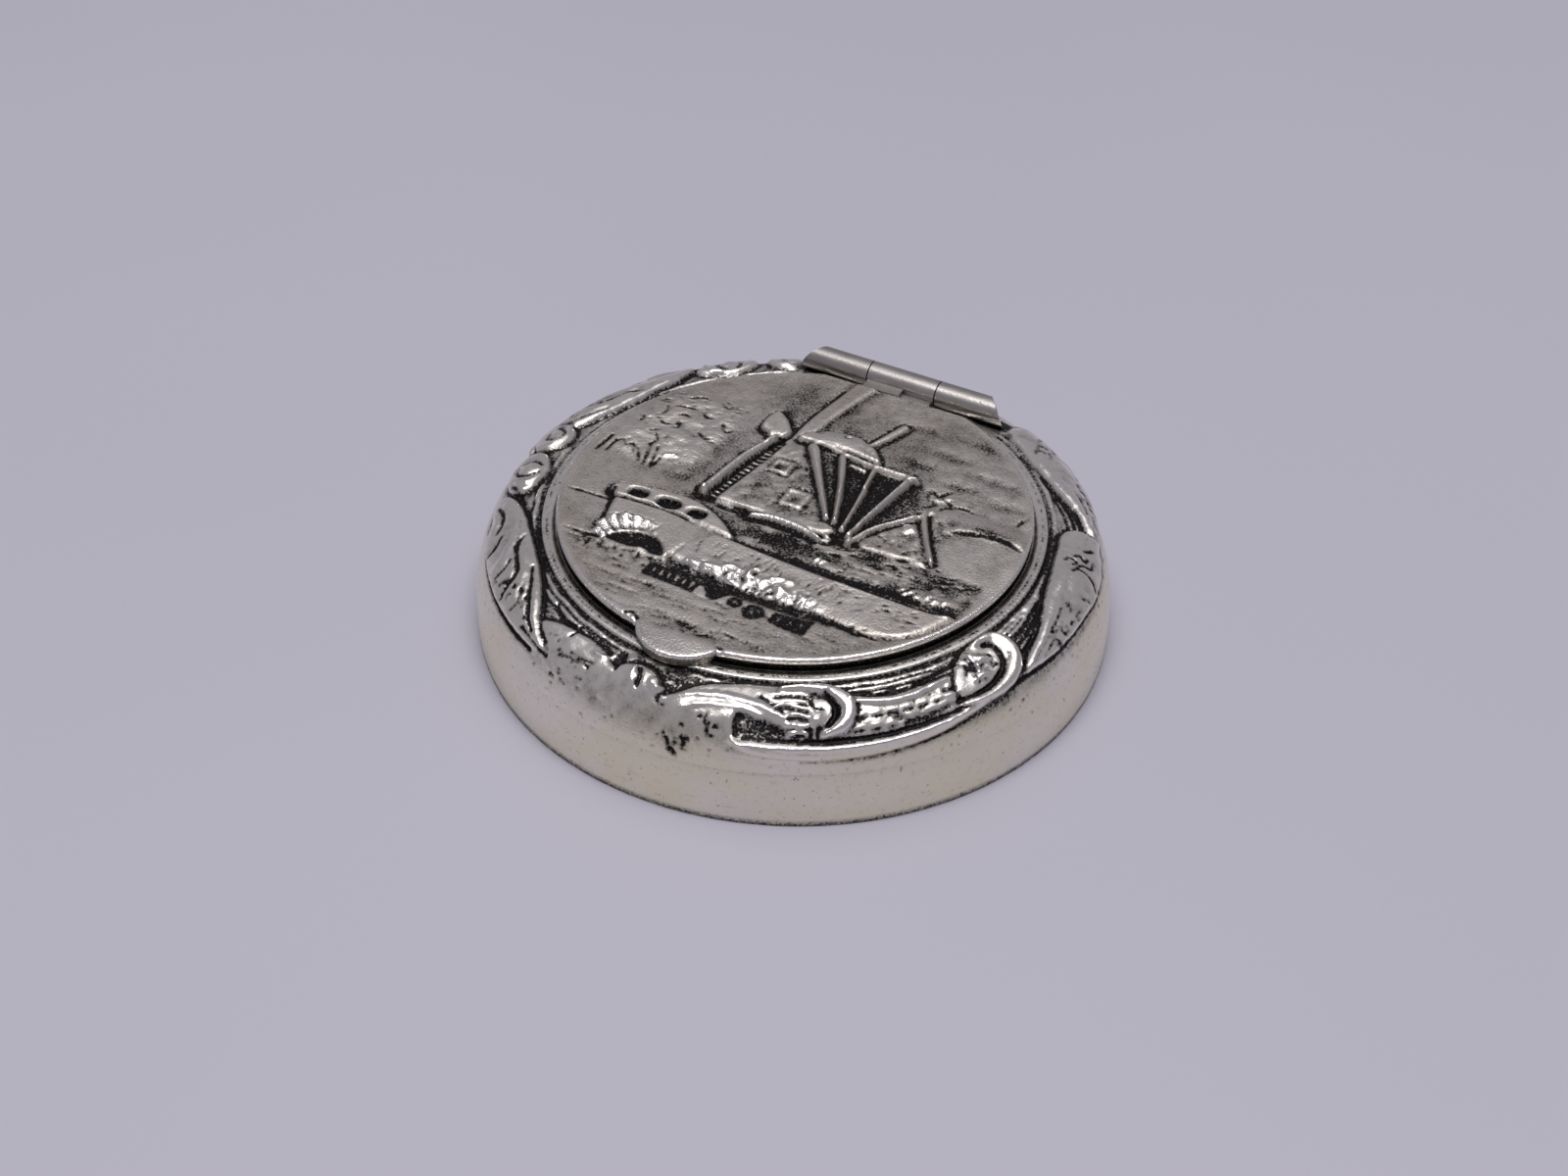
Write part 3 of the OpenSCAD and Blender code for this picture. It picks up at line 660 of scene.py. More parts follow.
def draw_front_leaf(r):
    """Leaf from 3 to 62 degrees, with a rolled lower edge that starts in a hollow curl."""
    r.area([(2.5, 2.9), (5, 2.1), (8, 1.35), (12, 0.85), (18, 0.45), (25, 0.5), (31, 0.6), (36, 0.95),
            (40, 1.5), (45, 1.75), (50, 1.6), (56, 1.25), (63, 1.0), (66, 2.4), (62, 3.6), (54, 4.1),
            (40, 4.3), (26, 4.4), (16, 4.4), (8, 4.0)], 0.26, 0.5, halo=0.9)
    # Left of the curl the leaf runs out smoothly into the plain front.
    across = r.x / r.unit
    top = np.interp(across, (0, 2.5, 5, 8, 12, 18), (3.6, 2.9, 2.1, 1.35, 0.85, 0.45))
    plain = smoothstep((r.y - top) / 0.6 + 0.2)
    plain = plain * smoothstep((across + 1.0) / 4) * smoothstep((20 - across) / 4)
    fall = 1 - smoothstep((r.y - 2.0) / 4.0)
    r.height += plain * (0.28 * fall * smoothstep((across + 1) / 8) - r.height)
    r.dark *= 1 - plain
    r.bar([(16.8, 4.35), (19, 4.7), (24, 4.85), (33, 4.85), (44, 4.7), (52, 4.45), (60, 4.1), (66, 3.85)],
          (0.5, 0.9, 1.05, 1.05, 0.95, 0.8, 0.55, 0.3), 0.24, 0.45, dark=0.14, crown=0.12)
    r.glint([(17.4, 4.45), (24, 4.48), (33, 4.5), (44, 4.4), (54, 4.15), (62, 3.85)], 0.55, 0.15,
            taper=(0.7, 0.5))
    r.stroke([(28, 5.5), (36, 5.5), (46, 5.3), (54, 4.95), (60, 4.55)], 0.24, -0.06, 0.75, taper=(0.2, 0.4))
    r.stroke([(18.5, 4.12), (26, 4.15), (34, 4.2), (44, 4.1), (53, 3.95), (60, 3.75)], 0.36, -0.16, 0.95,
             taper=(0.8, 0.8))
    r.area([(16.6, 3.3), (17.4, 2.65), (20, 2.75), (23, 3.0), (25.6, 3.5), (25, 4.05), (21, 4.1),
            (17.6, 4.05)], 0.02, 0.5, dark=0.25, gloss=0.4)
    r.stroke([(16.2, 2.7), (15.8, 3.4), (16.4, 4.1), (17.8, 4.6)], 0.4, 0.05, 0.0, 0.3)
    r.stroke([(17.2, 2.7), (16.8, 3.3), (17.2, 4.0)], 0.28, -0.1, 0.95)
    r.stroke([(18.6, 2.9), (18.2, 3.3), (18.8, 3.6)], 0.24, 0.06, 0.5)
    r.stroke([(4, 2.6), (9, 1.95), (14, 1.75), (19, 1.9), (23, 2.35), (27.5, 3.1)], 0.55, 0.1, 0.0, 0.9,
             taper=(0.2, 0.5))
    r.stroke([(6, 3.1), (10, 2.5), (15, 2.3), (19, 2.45), (21.5, 2.8)], 0.4, 0.06, 0.0, 0.9, taper=(0.2, 0.4))
    r.stroke([(20.5, 1.4), (23.5, 2.0), (26.5, 2.9)], 0.26, -0.1, 0.7)
    for k in range(6):
        y = 1.15 + 0.5 * k
        x = 22.0 + 0.9 * k + 0.8 * math.sin(2.4 * k)
        bend = 0.18 * math.sin(1.7 * k + 1)
        r.glint([(x, y), (x + 2.4, y - 0.12 + bend), (30.3 - k % 2, y + 0.05)], 0.34, 0.13,
                taper=(0.3, 0.7))
        r.stroke([(x, y + 0.25), (x + 2.2, y + 0.14 + bend), (29.6, y + 0.3)], 0.22, -0.12, 0.8,
                 taper=(0.3, 0.6))
    r.bar([(24.5, 0.85), (29, 0.75), (33, 0.9), (36.2, 1.6), (36.9, 2.4), (35.6, 3.2), (32.2, 3.75)],
          (0.3, 0.5, 0.75, 0.95, 0.95, 0.8, 0.4), 0.5, 0.3, crown=0.1, gloss=1.0, halo=0.5, reach=0.3)
    r.stroke([(33.0, 1.2), (34.3, 1.8), (34.4, 2.5), (33.2, 3.2)], 0.36, -0.25, 1.0)
    r.shade((31.0, 2.85), (0.5, 0.55), rise=0.24, gloss=1.0)
    r.stroke([(30.2, 1.6), (30.6, 2.1), (32.4, 2.2)], 0.26, -0.12, 0.85)
    r.stroke([(29.8, 3.3), (29.9, 3.9)], 0.24, -0.1, 0.9)
    r.stroke([(31.3, 3.2), (31.1, 3.9)], 0.2, -0.08, 0.7)
    r.glint([(37.4, 1.75), (41, 2.0), (45, 2.15), (49, 2.15), (53, 1.95), (57, 1.8)], 0.6, 0.17,
            taper=(0.6, 0.5))
    for y, ends in ((2.75, (37.8, 54)), (3.5, (37.3, 50))):
        for x in np.arange(ends[0], ends[1], 2.9):
            r.stroke([(x, y), (x + 1.9, y - 0.04)], 0.3, 0.05, 0.0, 0.5, taper=(0.5, 0.5))
            r.stroke([(x, y + 0.24), (x + 2.0, y + 0.2)], 0.18, -0.06, 0.8, taper=(0.5, 0.5))
    r.shade((47, 2.9), (2.6, 0.8), dark=0.2)
    r.stroke([(45, 3.2), (48, 3.6), (53, 3.5), (58, 3.35)], 0.5, -0.08, 0.4)
    for line in (((41, 1.25), (43.5, 1.55), (46.5, 1.3)), ((51, 1.45), (54, 1.1), (59, 1.0)),
                 ((52, 1.6), (55, 1.5), (58, 1.45))):
        r.stroke(line, 0.42, -0.14, 0.85)
    r.stroke([(58.5, 1.75), (59.5, 1.3), (61.5, 1.15)], 0.3, -0.08, 0.7)
    r.stroke([(55, 2.45), (58, 2.55), (61.5, 2.4)], 0.3, -0.1, 0.8)
    r.stroke([(54, 2.75), (57, 2.8), (60, 2.7)], 0.26, 0.08, 0.0, 0.7)


def draw_hook(r):
    """The big hooked scroll at 60 to 75 degrees."""
    r.area([(58, 2.2), (60.5, 1.1), (64, 0.4), (68.5, 0.1), (72.2, 0.4), (74.2, 1.3), (74.1, 2.3),
            (71.8, 3.4), (67, 3.95), (61, 3.8), (58, 3.2)], 0.3, 0.4, halo=0.9)
    r.bar([(58, 3.65), (63, 3.7), (68, 3.45), (71.3, 2.7), (72.6, 1.7), (71.9, 0.8), (69.5, 0.45),
           (66, 0.55)], (0.4, 0.6, 0.9, 1.0, 1.0, 0.9, 0.7, 0.3), 0.36, 0.35, dark=0.42, crown=0.2)
    r.stroke([(57, 3.35), (61, 3.4), (65, 3.2), (68.4, 2.6), (69.7, 1.7), (69.2, 1.0), (68.0, 0.85)], 0.4,
             -0.26, 1.0, taper=(0.6, 0.8))
    r.glint([(68.6, 0.62), (70.2, 0.8), (71.1, 1.25), (71.1, 1.95)], 0.26, 0.08)
    for line in (((63.4, 1.0), (64.6, 1.4), (66.8, 1.75)), ((63.6, 1.9), (64.8, 1.65), (66.4, 1.9)),
                 ((61.6, 2.6), (63.4, 2.5), (65.0, 2.7)), ((63.2, 1.3), (63.4, 1.7), (63.3, 2.0))):
        r.glint(line, 0.4, 0.16)
    r.stroke([(62.4, 0.9), (63.0, 1.5), (62.7, 2.1)], 0.26, -0.12, 0.9)
    r.stroke([(60.5, 1.2), (61.8, 1.6), (60.6, 2.1)], 0.24, -0.08, 0.7)
    r.flecks(14, (60.5, 67.5), (1.5, 3.0), 0.5, 0.2, -0.08, 0.8, 20, 0.7)
    r.stroke([(73.6, 3.0), (72.6, 3.6)], 0.26, -0.14, 0.95)


def draw_side_leaf(r):
    """Smooth leaf from 73 to 112 degrees, ending in a notch."""
    r.area([(72.5, 3.6), (75, 3.0), (79, 2.45), (84, 1.75), (89, 1.15), (94, 0.75), (100, 0.55), (106, 0.6),
            (112, 0.9), (114, 2.4), (111, 3.8), (103, 4.3), (90, 4.2), (78, 4.05)], 0.3, 0.5, halo=0.85)
    r.stroke([(75, 3.3), (84, 2.3), (92, 1.5), (99, 1.3)], 0.9, 0.06, 0.0, 0.3)
    for line in (((73.5, 2.1), (80, 1.7), (88, 1.0)), ((74, 1.5), (81, 1.15), (88, 0.75)),
                 ((73.5, 2.75), (78, 2.35), (83, 1.95))):
        r.stroke(line, 0.3, -0.12, 0.9, taper=(0.8, 0.4))
    r.stroke([(60, 3.95), (68, 4.0), (76, 4.05), (86, 4.1), (94, 4.2), (100, 4.5)], 0.34, -0.16, 0.95,
             taper=(0.5, 0.7))
    for line in (((74.5, 3.55), (77, 3.2), (80, 3.0)), ((77, 3.7), (80, 3.4), (82.5, 3.25)),
                 ((82, 2.75), (85, 2.6), (89, 2.35)), ((94.5, 3.2), (95.5, 3.7), (95.2, 4.2))):
        r.stroke(line, 0.22, -0.07, 0.7, taper=(0.6, 0.3))
    r.flecks(34, (80, 93), (2.6, 3.9), 0.6, 0.16, -0.05, 0.75, 10, 0.4)
    for line in (((99.4, 1.9), (100.6, 2.1), (101.0, 2.8), (100.2, 3.6), (98.6, 4.0)),
                 ((101.0, 2.1), (102.6, 2.4), (103.4, 3.1), (105.6, 3.2)),
                 ((102.2, 1.2), (103.6, 1.5), (102.8, 2.0), (101.2, 1.7)),
                 ((104.4, 1.7), (105.4, 2.2), (104.2, 2.5), (105.6, 2.8)), ((107.2, 2.4), (109.0, 3.2))):
        r.stroke(line, 0.26, -0.11, 0.85, taper=(0.7, 0.4))
    r.shade((98.5, 2.2), (1.4, 1.0), rise=0.12, gloss=0.3)
    r.stroke([(100.3, 4.2), (101.6, 4.5), (102.5, 4.4)], 0.3, -0.12, 0.8)


def draw_left_leaf(r):
    """Acanthus leaf from -68 to -24 degrees."""
    r.area([(-69, 2.6), (-66, 1.7), (-61, 1.0), (-56, 0.7), (-50, 0.5), (-43, 0.6), (-37, 1.1), (-32, 1.9),
            (-28, 2.9), (-24, 3.7), (-29, 4.15), (-40, 4.3), (-52, 4.3), (-62, 4.1), (-68, 3.5)], 0.3, 0.4,
           halo=0.85)
    r.stroke([(-69, 3.6), (-63, 4.2), (-55, 4.45), (-45, 4.5), (-35, 4.5), (-27, 4.4)], 0.42, -0.2, 1.0,
             taper=(0.3, 0.8))
    r.stroke([(-31, 3.65), (-27, 3.75), (-22.5, 3.95)], 0.28, -0.12, 0.9)
    r.stroke([(-54, 0.95), (-51, 1.6), (-47, 1.85), (-43.5, 2.1), (-41.5, 2.9), (-40.3, 4.0)], 0.4, -0.14,
             0.65, taper=(0.4, 0.8))
    r.stroke([(-43, 1.05), (-39, 1.55), (-35, 2.25), (-31, 3.0), (-27.5, 3.45)], 0.42, -0.15, 0.75,
             taper=(0.6, 0.5))
    r.stroke([(-50, 1.2), (-45, 1.4), (-41, 2.0), (-38, 3.0)], 0.7, 0.07, 0.0, 0.1)
    r.stroke([(-60, 1.2), (-54, 1.7), (-49, 2.6), (-47, 3.8)], 0.8, 0.06, 0.0, 0.1)
    r.stroke([(-65.5, 3.1), (-63, 2.65), (-59.5, 2.6), (-57, 2.95)], 0.3, -0.12, 0.65)
    r.stroke([(-65, 3.75), (-62, 3.6), (-59, 3.85)], 0.24, -0.1, 0.7)
    r.stroke([(-63.5, 3.2), (-60.5, 3.0), (-58.5, 3.3)], 0.34, 0.1, 0.0, 0.3)
    r.stroke([(-55.5, 2.6), (-53.5, 3.1), (-52.6, 4.0)], 0.3, -0.09, 0.6)
    r.stroke([(-59, 1.2), (-54, 1.45), (-50, 1.9)], 0.18, -0.06, 0.55)
    r.stroke([(-47.5, 2.2), (-45.8, 2.9), (-45.5, 3.6)], 0.28, -0.09, 0.6)
    r.stroke([(-37.5, 2.4), (-36, 3.0), (-36, 3.7)], 0.24, -0.08, 0.6)
    r.pits(16, (-48, -28), (2.2, 4.1), 0.14, 0.08, 0.85)
    r.flecks(14, (-46, -33), (2.3, 4.0), 0.5, 0.2, -0.08, 0.7, 40, 0.6)


def draw_left_scroll(r):
    """Small curled scroll at -84 to -70 degrees."""
    r.area([(-84, 1.6), (-80, 0.7), (-75, 0.6), (-71, 1.2), (-70, 2.2), (-73, 3.2), (-79, 3.5), (-84, 2.9)],
           0.26, 0.35, halo=0.8)
    r.stroke(arc((-78, 2.0), (2.6, 0.95), np.radians(np.arange(-60, 270, 30))), 0.34, -0.2, 0.9)
    r.shade((-78, 2.0), (0.5, 0.5), rise=0.14, gloss=0.5)
    r.glint([(-75, 0.8), (-72.6, 1.5), (-72.8, 2.3)], 0.5, 0.16)
    r.stroke([(-72, 2.6), (-70, 2.0), (-66, 1.4)], 0.5, -0.15, 0.8)


def draw_front_swell(r):
    """The smooth front between two leaves, with a knob below the lid's tab."""
    r.area([(-31, 3.3), (-28, 2.2), (-23, 1.5), (-17, 1.25), (-12, 1.5), (-9.5, 2.0), (-7.5, 1.6),
            (-5, 1.2), (-2, 1.1), (0.5, 1.5), (2.2, 2.2), (4, 2.9), (8, 3.4), (12, 4.4), (6, 5.8),
            (-15, 5.8), (-28, 5.2)], 0.16, 0.6, halo=0.75, reach=0.4)
    lower = smoothstep((r.y - 2.6) / 2.6) * r.window(-36, 16, -1, 8, 1.2)
    r.height *= 1 - lower
    r.shade((-3.2, 1.9), (1.5, 0.9), rise=0.18, gloss=0.6)
    r.glint([(-4.6, 1.5), (-4.2, 2.2), (-3.0, 2.6)], 0.34, 0.12)
    r.stroke([(-3.6, 1.5), (-2.7, 2.0), (-2.6, 2.5)], 0.4, -0.2, 1.0)
    r.glint([(0.0, 2.0), (1.0, 2.3), (2.2, 2.2)], 0.6, 0.16)
    r.glint([(0.8, 1.7), (1.5, 2.6)], 0.26, 0.12)
    r.stroke([(-9.2, 1.0), (-8.5, 1.7), (-8.0, 2.2)], 0.9, -0.18, 0.85, taper=(1, 0.3))
    r.glint([(-14, 1.9), (-11.5, 1.8), (-10.2, 1.3)], 0.3, 0.12)
    r.stroke([(-21.5, 0.95), (-20.6, 1.4), (-20.8, 1.9)], 0.28, -0.12, 0.9)
    r.stroke([(-30, 0.9), (-26, 1.35), (-22.5, 1.1)], 0.3, -0.12, 0.8)
    r.stroke([(-18, 2.75), (-15, 2.7), (-12.5, 2.55)], 0.2, -0.05, 0.7)


def draw_dents(r):
    """Dents and pits of wear on the smooth front."""
    r.pits(22, (-25, -11), (2.4, 5.2), 0.09, 0.05, 0.85)
    r.pits(18, (-27, 14), (4.4, 6.4), 0.08, 0.04, 0.8)
    for line in (((5.4, 5.0), (5.8, 5.3), (5.6, 5.5)), ((6.2, 5.6), (6.8, 5.9), (7.4, 6.15)),
                 ((7.6, 5.0), (8.2, 4.7), (8.6, 5.1), (8.3, 5.5)), ((9.0, 4.6), (9.3, 4.9)),
                 ((6.9, 4.9), (7.1, 5.2), (6.8, 5.4)), ((12.6, 3.4), (12.2, 3.9), (12.5, 4.3)),
                 ((11.9, 2.9), (11.6, 3.4), (12.1, 3.7)), ((-20, 3.3), (-17, 3.0), (-13, 2.9))):
        r.stroke(line, 0.22, -0.06, 0.8, taper=(0.5, 0.7))
    r.stroke([(6.3, 5.75), (6.9, 6.0)], 0.4, -0.09, 1.0)
    r.shade((6.6, 5.2), (1.3, 0.9), dark=0.2)
    r.pits(10, (2, 15), (2.9, 5.4), 0.12, 0.07, 0.9)


def draw_small_scroll(r, a):
    """A small S scroll at that many degrees, which fills a gap between two leaves."""
    r.area([(a - 5, 2.2), (a - 3, 1.1), (a + 1, 0.8), (a + 4.5, 1.5), (a + 5, 2.8), (a + 1, 3.6),
            (a - 4, 3.4)], 0.26, 0.35, halo=0.75)
    r.stroke([(a - 3.4, 2.6), (a - 1.4, 1.6), (a + 1.4, 1.7), (a + 1.6, 2.5), (a - 0.2, 2.7)], 0.32, -0.18,
             0.85)
    r.stroke([(a - 3.2, 1.6), (a, 1.15), (a + 3, 1.7)], 0.34, 0.12, 0.0, 0.6)


def draw_reeds(r):
    """The stippled ground next to the ring, and the dark line where the two meet."""
    ground = smoothstep((2.9 - r.y) / 0.5)
    r.dark += ground * (0.3 + 0.25 * r.rough(0.4, 91, 2.0))
    r.height += ground * (0.03 * r.rough(0.35, 95, 1.6) - 0.02)
    r.dark += 0.5 * np.exp(-((r.y - 0.12) / 0.14)**2)


def draw_reed_lines(r):
    """Smooth strands along that ground, each with a dark line beside it."""
    for level, ends, drift in ((0.42, (6, 66), 0.0), (0.88, (30, 62), 0.0), (1.3, (40, 60), -0.1),
                               (0.4, (70, 112), 0.1), (0.8, (70, 100), 0.35), (1.2, (71, 92), 0.5),
                               (1.65, (72, 86), 0.6), (0.45, (-44, -6), 0.0), (0.9, (-38, -14), -0.1),
                               (0.45, (-90, -46), 0.0), (0.42, (112, 165), 0.0), (0.42, (-165, -92), 0.0)):
        x = np.arange(ends[0], ends[1], 5.0)
        wave = 0.05 * np.sin(x * 0.7) - drift * (x - x[0]) / (x[-1] - x[0])
        r.stroke(list(zip(x, level + wave)), 0.36, 0.13, 0.0, 0.3, taper=(0.3, 0.3))
        r.stroke(list(zip(x, level + wave + 0.22)), 0.16, -0.05, 0.85, taper=(0.3, 0.3))


def away_from_front(r):
    """0 round the front, rising to 1 on the left and at the back."""
    return smoothstep((np.abs(r.x / r.unit - 25) - 70) / 50)


def draw_shoulder(r):
    """Degrees run from -180 to 180 from the front; the second number is millimetres out from the ring."""
    r.halo_share = smoothstep((3.9 - r.y) / 0.9)
    draw_reeds(r)
    draw_reed_lines(r)
    draw_small_scroll(r, 152)
    draw_small_scroll(r, -152)
    for draw, shift in ((draw_side_leaf, 38.0), (draw_left_leaf, -62.0), (draw_left_scroll, -60.0)):
        r.shift = shift
        draw(r)
    r.shift = 0.0
    draw_small_scroll(r, -91)
    draw_front_swell(r)
    draw_left_leaf(r)
    draw_left_scroll(r)
    draw_side_leaf(r)
    draw_front_leaf(r)
    draw_hook(r)
    draw_dents(r)
    r.dark *= 1 - 0.5 * away_from_front(r)
    # Faint hammering and pits on the plain lower part.
    plain = smoothstep((r.y - 4.4) / 0.8)
    r.height += plain * 0.01 * r.rough(2.0, 101)
    r.height += (1 - plain) * (0.05 * r.rough(1.6, 105) + 0.012 * r.rough(0.4, 107))
    r.dark += (1 - plain) * (0.09 + np.clip(0.22 * r.rough(1.1, 109), 0, 0.2))
    r.pits(34, (58, 112), (4.5, 5.9), 0.07, 0.02, 0.8)
    r.pits(130, (-180, 180), (4.9, 6.4), 0.06, 0.02, 0.7)
    r.height -= 0.05 * np.exp(-((r.y - 6.35) / 0.3)**2)


# ---------------------------------------------------------------- meshes


def mesh_object(name, vertices, faces, maps=None, smooth=True):
    """vertices in millimetres. maps are named numbers for each vertex, kept for the material."""
    mesh = bpy.data.meshes.new(name)
    faces = np.asarray(faces, np.int32)
    mesh.vertices.add(len(vertices))
    mesh.vertices.foreach_set("co", (np.asarray(vertices, float) * MM).astype(np.float32).ravel())
    mesh.loops.add(faces.size)
    mesh.loops.foreach_set("vertex_index", faces.ravel())
    mesh.polygons.add(len(faces))
    mesh.polygons.foreach_set("loop_start", np.arange(0, faces.size, faces.shape[1], dtype=np.int32))
    mesh.polygons.foreach_set("use_smooth", np.full(len(faces), smooth))
    mesh.update(calc_edges=True)
    for key, values in (maps or {}).items():
        layer = mesh.attributes.new(key, "FLOAT", "POINT")
        layer.data.foreach_set("value", np.asarray(values, np.float32))
    piece = bpy.data.objects.new(name, mesh)
    bpy.context.scene.collection.objects.link(piece)
    return piece


def tube_faces(rows, columns):
    """Quads of a surface that closes on itself along its columns, and from its last row to its first."""
    row, column = np.meshgrid(np.arange(rows), np.arange(columns), indexing="ij")
    here = row * columns
    below = (row + 1) % rows * columns
    beside = (column + 1) % columns
    return np.stack([here + column, here + beside, below + beside, below + column], -1).reshape(-1, 4)


def close_loop(piece, loop):
    """Caps an open edge of the mesh with one flat face."""
    shape = bmesh.new()
    shape.from_mesh(piece.data)
    shape.verts.ensure_lookup_table()
    face = shape.faces.new([shape.verts[int(i)] for i in loop])
    face.smooth = False
    bmesh.ops.triangulate(shape, faces=[face])
    bmesh.ops.recalc_face_normals(shape, faces=shape.faces)
    shape.to_mesh(piece.data)
    shape.free()


def polar(radius, degrees):
    """x and y at that radius, in degrees from the front towards +X."""
    return radius * np.sin(np.radians(degrees)), -radius * np.cos(np.radians(degrees))


def hinge_room(x, y, z):
    """The heights z, lowered to the surface of the hinge's grooves where they would stand in them."""
    reach = np.where(np.abs(x) < MIDDLE_X, KNUCKLE_R + SWING_GAP, KNUCKLE_R)
    inside = (np.abs(x) < GROOVE_X) & (np.hypot(y - HINGE.y, z - HINGE.z) < reach)
    lowered = HINGE.z - np.sqrt(np.clip(reach**2 - (y - HINGE.y)**2, 0, None))
    return np.where(inside, np.minimum(z, lowered), z)


def blurred(values, passes):
    for _ in range(passes):
        values = 0.5 * values + 0.25 * (np.roll(values, 1, 0) + np.roll(values, -1, 0))
        values = 0.5 * values + 0.25 * (np.roll(values, 1, 1) + np.roll(values, -1, 1))
    return values


def oxide_map(relief, shape, crisp=3.0, share=1.0):
    """How black each point is: what was drawn dark, and what lies below its surroundings.

    crisp weighs the narrowest hollows. share is how much the hollows count from place to place.
    """
    height = relief.height.reshape(shape)
    drawn = blurred(relief.dark.reshape(shape), 1)
    near = blurred(height, 3)
    around = blurred(near, 20)
    far = blurred(around, 60)
    hollows = (np.clip(crisp * (near - height), -0.3, 0.35) + np.clip(2.2 * (around - height), -0.2, 0.45)
               + np.clip(1.6 * (far - height), -0.15, 0.4))
    return np.clip(drawn + share * hollows, 0, 1)


# ---- the lid


def lid_outline(angle):
    """Distance of the lid's edge from the centre in a direction: a disc with the tab's lobe on it."""
    lobe_y = LID_R + TAB_OUT - LOBE_R
    toward = -np.sin(angle) * lobe_y
    inside = LOBE_R**2 - lobe_y**2 + toward**2
    lobe = np.where((inside > 0) & (toward > 0), toward + np.sqrt(np.clip(inside, 0, None)), 0)
    edge = np.maximum(LID_R, lobe)
    back = np.where(np.sin(angle) > 0.9, LID_HIGH.y / np.clip(np.sin(angle), 0.9, 1), 1e9)
    return np.minimum(edge, back)


def lid_plan(cells):
    """x and y of a square grid bent into the lid's outline, less its rounded edge."""
    side = np.linspace(-1, 1, cells + 1)
    a, b = np.meshgrid(side, side, indexing="ij")
    wide = np.abs(a) > np.abs(b)
    radius = np.where(wide, a, b)
    with np.errstate(divide="ignore", invalid="ignore"):
        turn = np.where(wide, math.pi / 4 * b / a, math.pi / 2 - math.pi / 4 * a / b)
    turn = np.where(radius == 0, 0, turn)
    x = radius * np.cos(turn)
    y = radius * np.sin(turn)
    stretch = (lid_outline(np.arctan2(y, x)) - LID_BEVEL) / LID_R
    full = LID_R * (1 + (stretch - 1) * smoothstep((np.hypot(x, y) - 0.8) / 0.2))
    return x * full, y * full


def lid_rim(x, y, z):
    """The rows from the plate's edge down its side, which runs inwards, and back up under the plate.

    x, y and z are the plate's edge, in order round it. Each row is its points and how black it is; the black
    on the side and under the plate is painted shade, where the lid's edge lies in shadow.
    """
    tangent = np.stack([np.roll(x, -1) - np.roll(x, 1), np.roll(y, -1) - np.roll(y, 1)])
    tangent /= np.hypot(*tangent)
    on_tab = smoothstep((-y - LID_R + 0.5) / 0.6)
    foot = LID_LOW.z + 0.06 * on_tab
    low = z - LID_BEVEL
    serration = 0.05 * on_tab * np.sin(x * 2 * math.pi / 0.22)
    under = -RIM_T - TAB_OUT * on_tab
    rows = [(LID_BEVEL * math.sin(t), z - LID_BEVEL * (1 - math.cos(t)), 0.0)
            for t in np.radians([18, 36, 54, 72, 90])]
    for share, offset, shade in ((0.2, 0.22, 0.3), (0.5, 0.06, 0.7), (1.0, -0.06, 0.7)):
        wavy = serration * (share < 1)
        rows.append((offset + (0.22 - offset) * 0.7 * on_tab + wavy, low + (foot - low) * share, shade))
    rows += [(-0.35, foot, 0.55), (under, foot, 0.55), (under, np.full(x.size, LID_TOP - PLATE_T), 0.5)]
    for offset, height, shade in rows:
        height = np.broadcast_to(height, x.shape)
        yield np.stack([x + tangent[1] * offset, y - tangent[0] * offset, height], -1), shade


def make_lid():
    cells = 288
    x, y = lid_plan(cells)
    turned_x = x * math.cos(PICTURE_TURN) + y * math.sin(PICTURE_TURN)
    turned_y = y * math.cos(PICTURE_TURN) - x * math.sin(PICTURE_TURN)
    relief = Relief(turned_x, turned_y, seed=5, soft=1.6, halo_dark=0.48)
    draw_lid(relief)
    relief.height = (LID_LIFT * blurred(relief.height.reshape(x.shape), 1)).ravel()
    top = (LID_TOP + relief.height.reshape(x.shape)).ravel()
    x = x.ravel()
    y = y.ravel()
    vertices = [np.stack([x, y, top], -1)]
    darkness = [(LID_BLACK * oxide_map(relief, (cells + 1, cells + 1), crisp=1.8)).ravel()]
    gloss = [np.clip(relief.gloss, 0, 1)]

    index = np.arange(x.size).reshape(cells + 1, cells + 1)
    faces = [np.stack([index[:-1, :-1], index[1:, :-1], index[1:, 1:], index[:-1, 1:]], -1).reshape(-1, 4)]
    loop = np.concatenate([index[:-1, 0], index[-1, :-1], index[:0:-1, -1], index[0, :0:-1]])
    on_tab = smoothstep((-y[loop] - LID_R + 0.5) / 0.6)
    previous = loop
    start = x.size
    for points, shade in lid_rim(x[loop], y[loop], top[loop]):
        vertices.append(points)
        # Painted shade: the rim rows are black on the lid's side and under it, less on the tab.
        darkness.append(shade * (1 - 0.6 * on_tab) if shade >= 0.5 else np.full(loop.size, shade))
        gloss.append(np.full(loop.size, 1.0 if shade < 0.3 else 0.0))
        current = start + np.arange(loop.size)
        faces.append(np.stack([previous, current, np.roll(current, -1), np.roll(previous, -1)], -1))
        previous = current
        start += loop.size
    lid = mesh_object("lid_picture_plate", np.vstack(vertices), np.vstack(faces),
                      {"oxide_and_shade": np.concatenate(darkness), "rubbed": np.concatenate(gloss)})
    close_loop(lid, previous)
    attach(lid, "lid")
    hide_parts("lid_plate")
    return lid


# ---- the shell


def shoulder_point(a, inset=0.0):
    """Radius and height on the shoulder's curve, from the wall at 0 to the ring at a quarter turn."""
    power = 2 / SHOULDER_POWER
    return (SEAT_R + (BODY_R - inset - SEAT_R) * np.cos(a)**power,
            WALL_Z + (SHOULDER_TOP - inset - WALL_Z) * np.sin(a)**power)


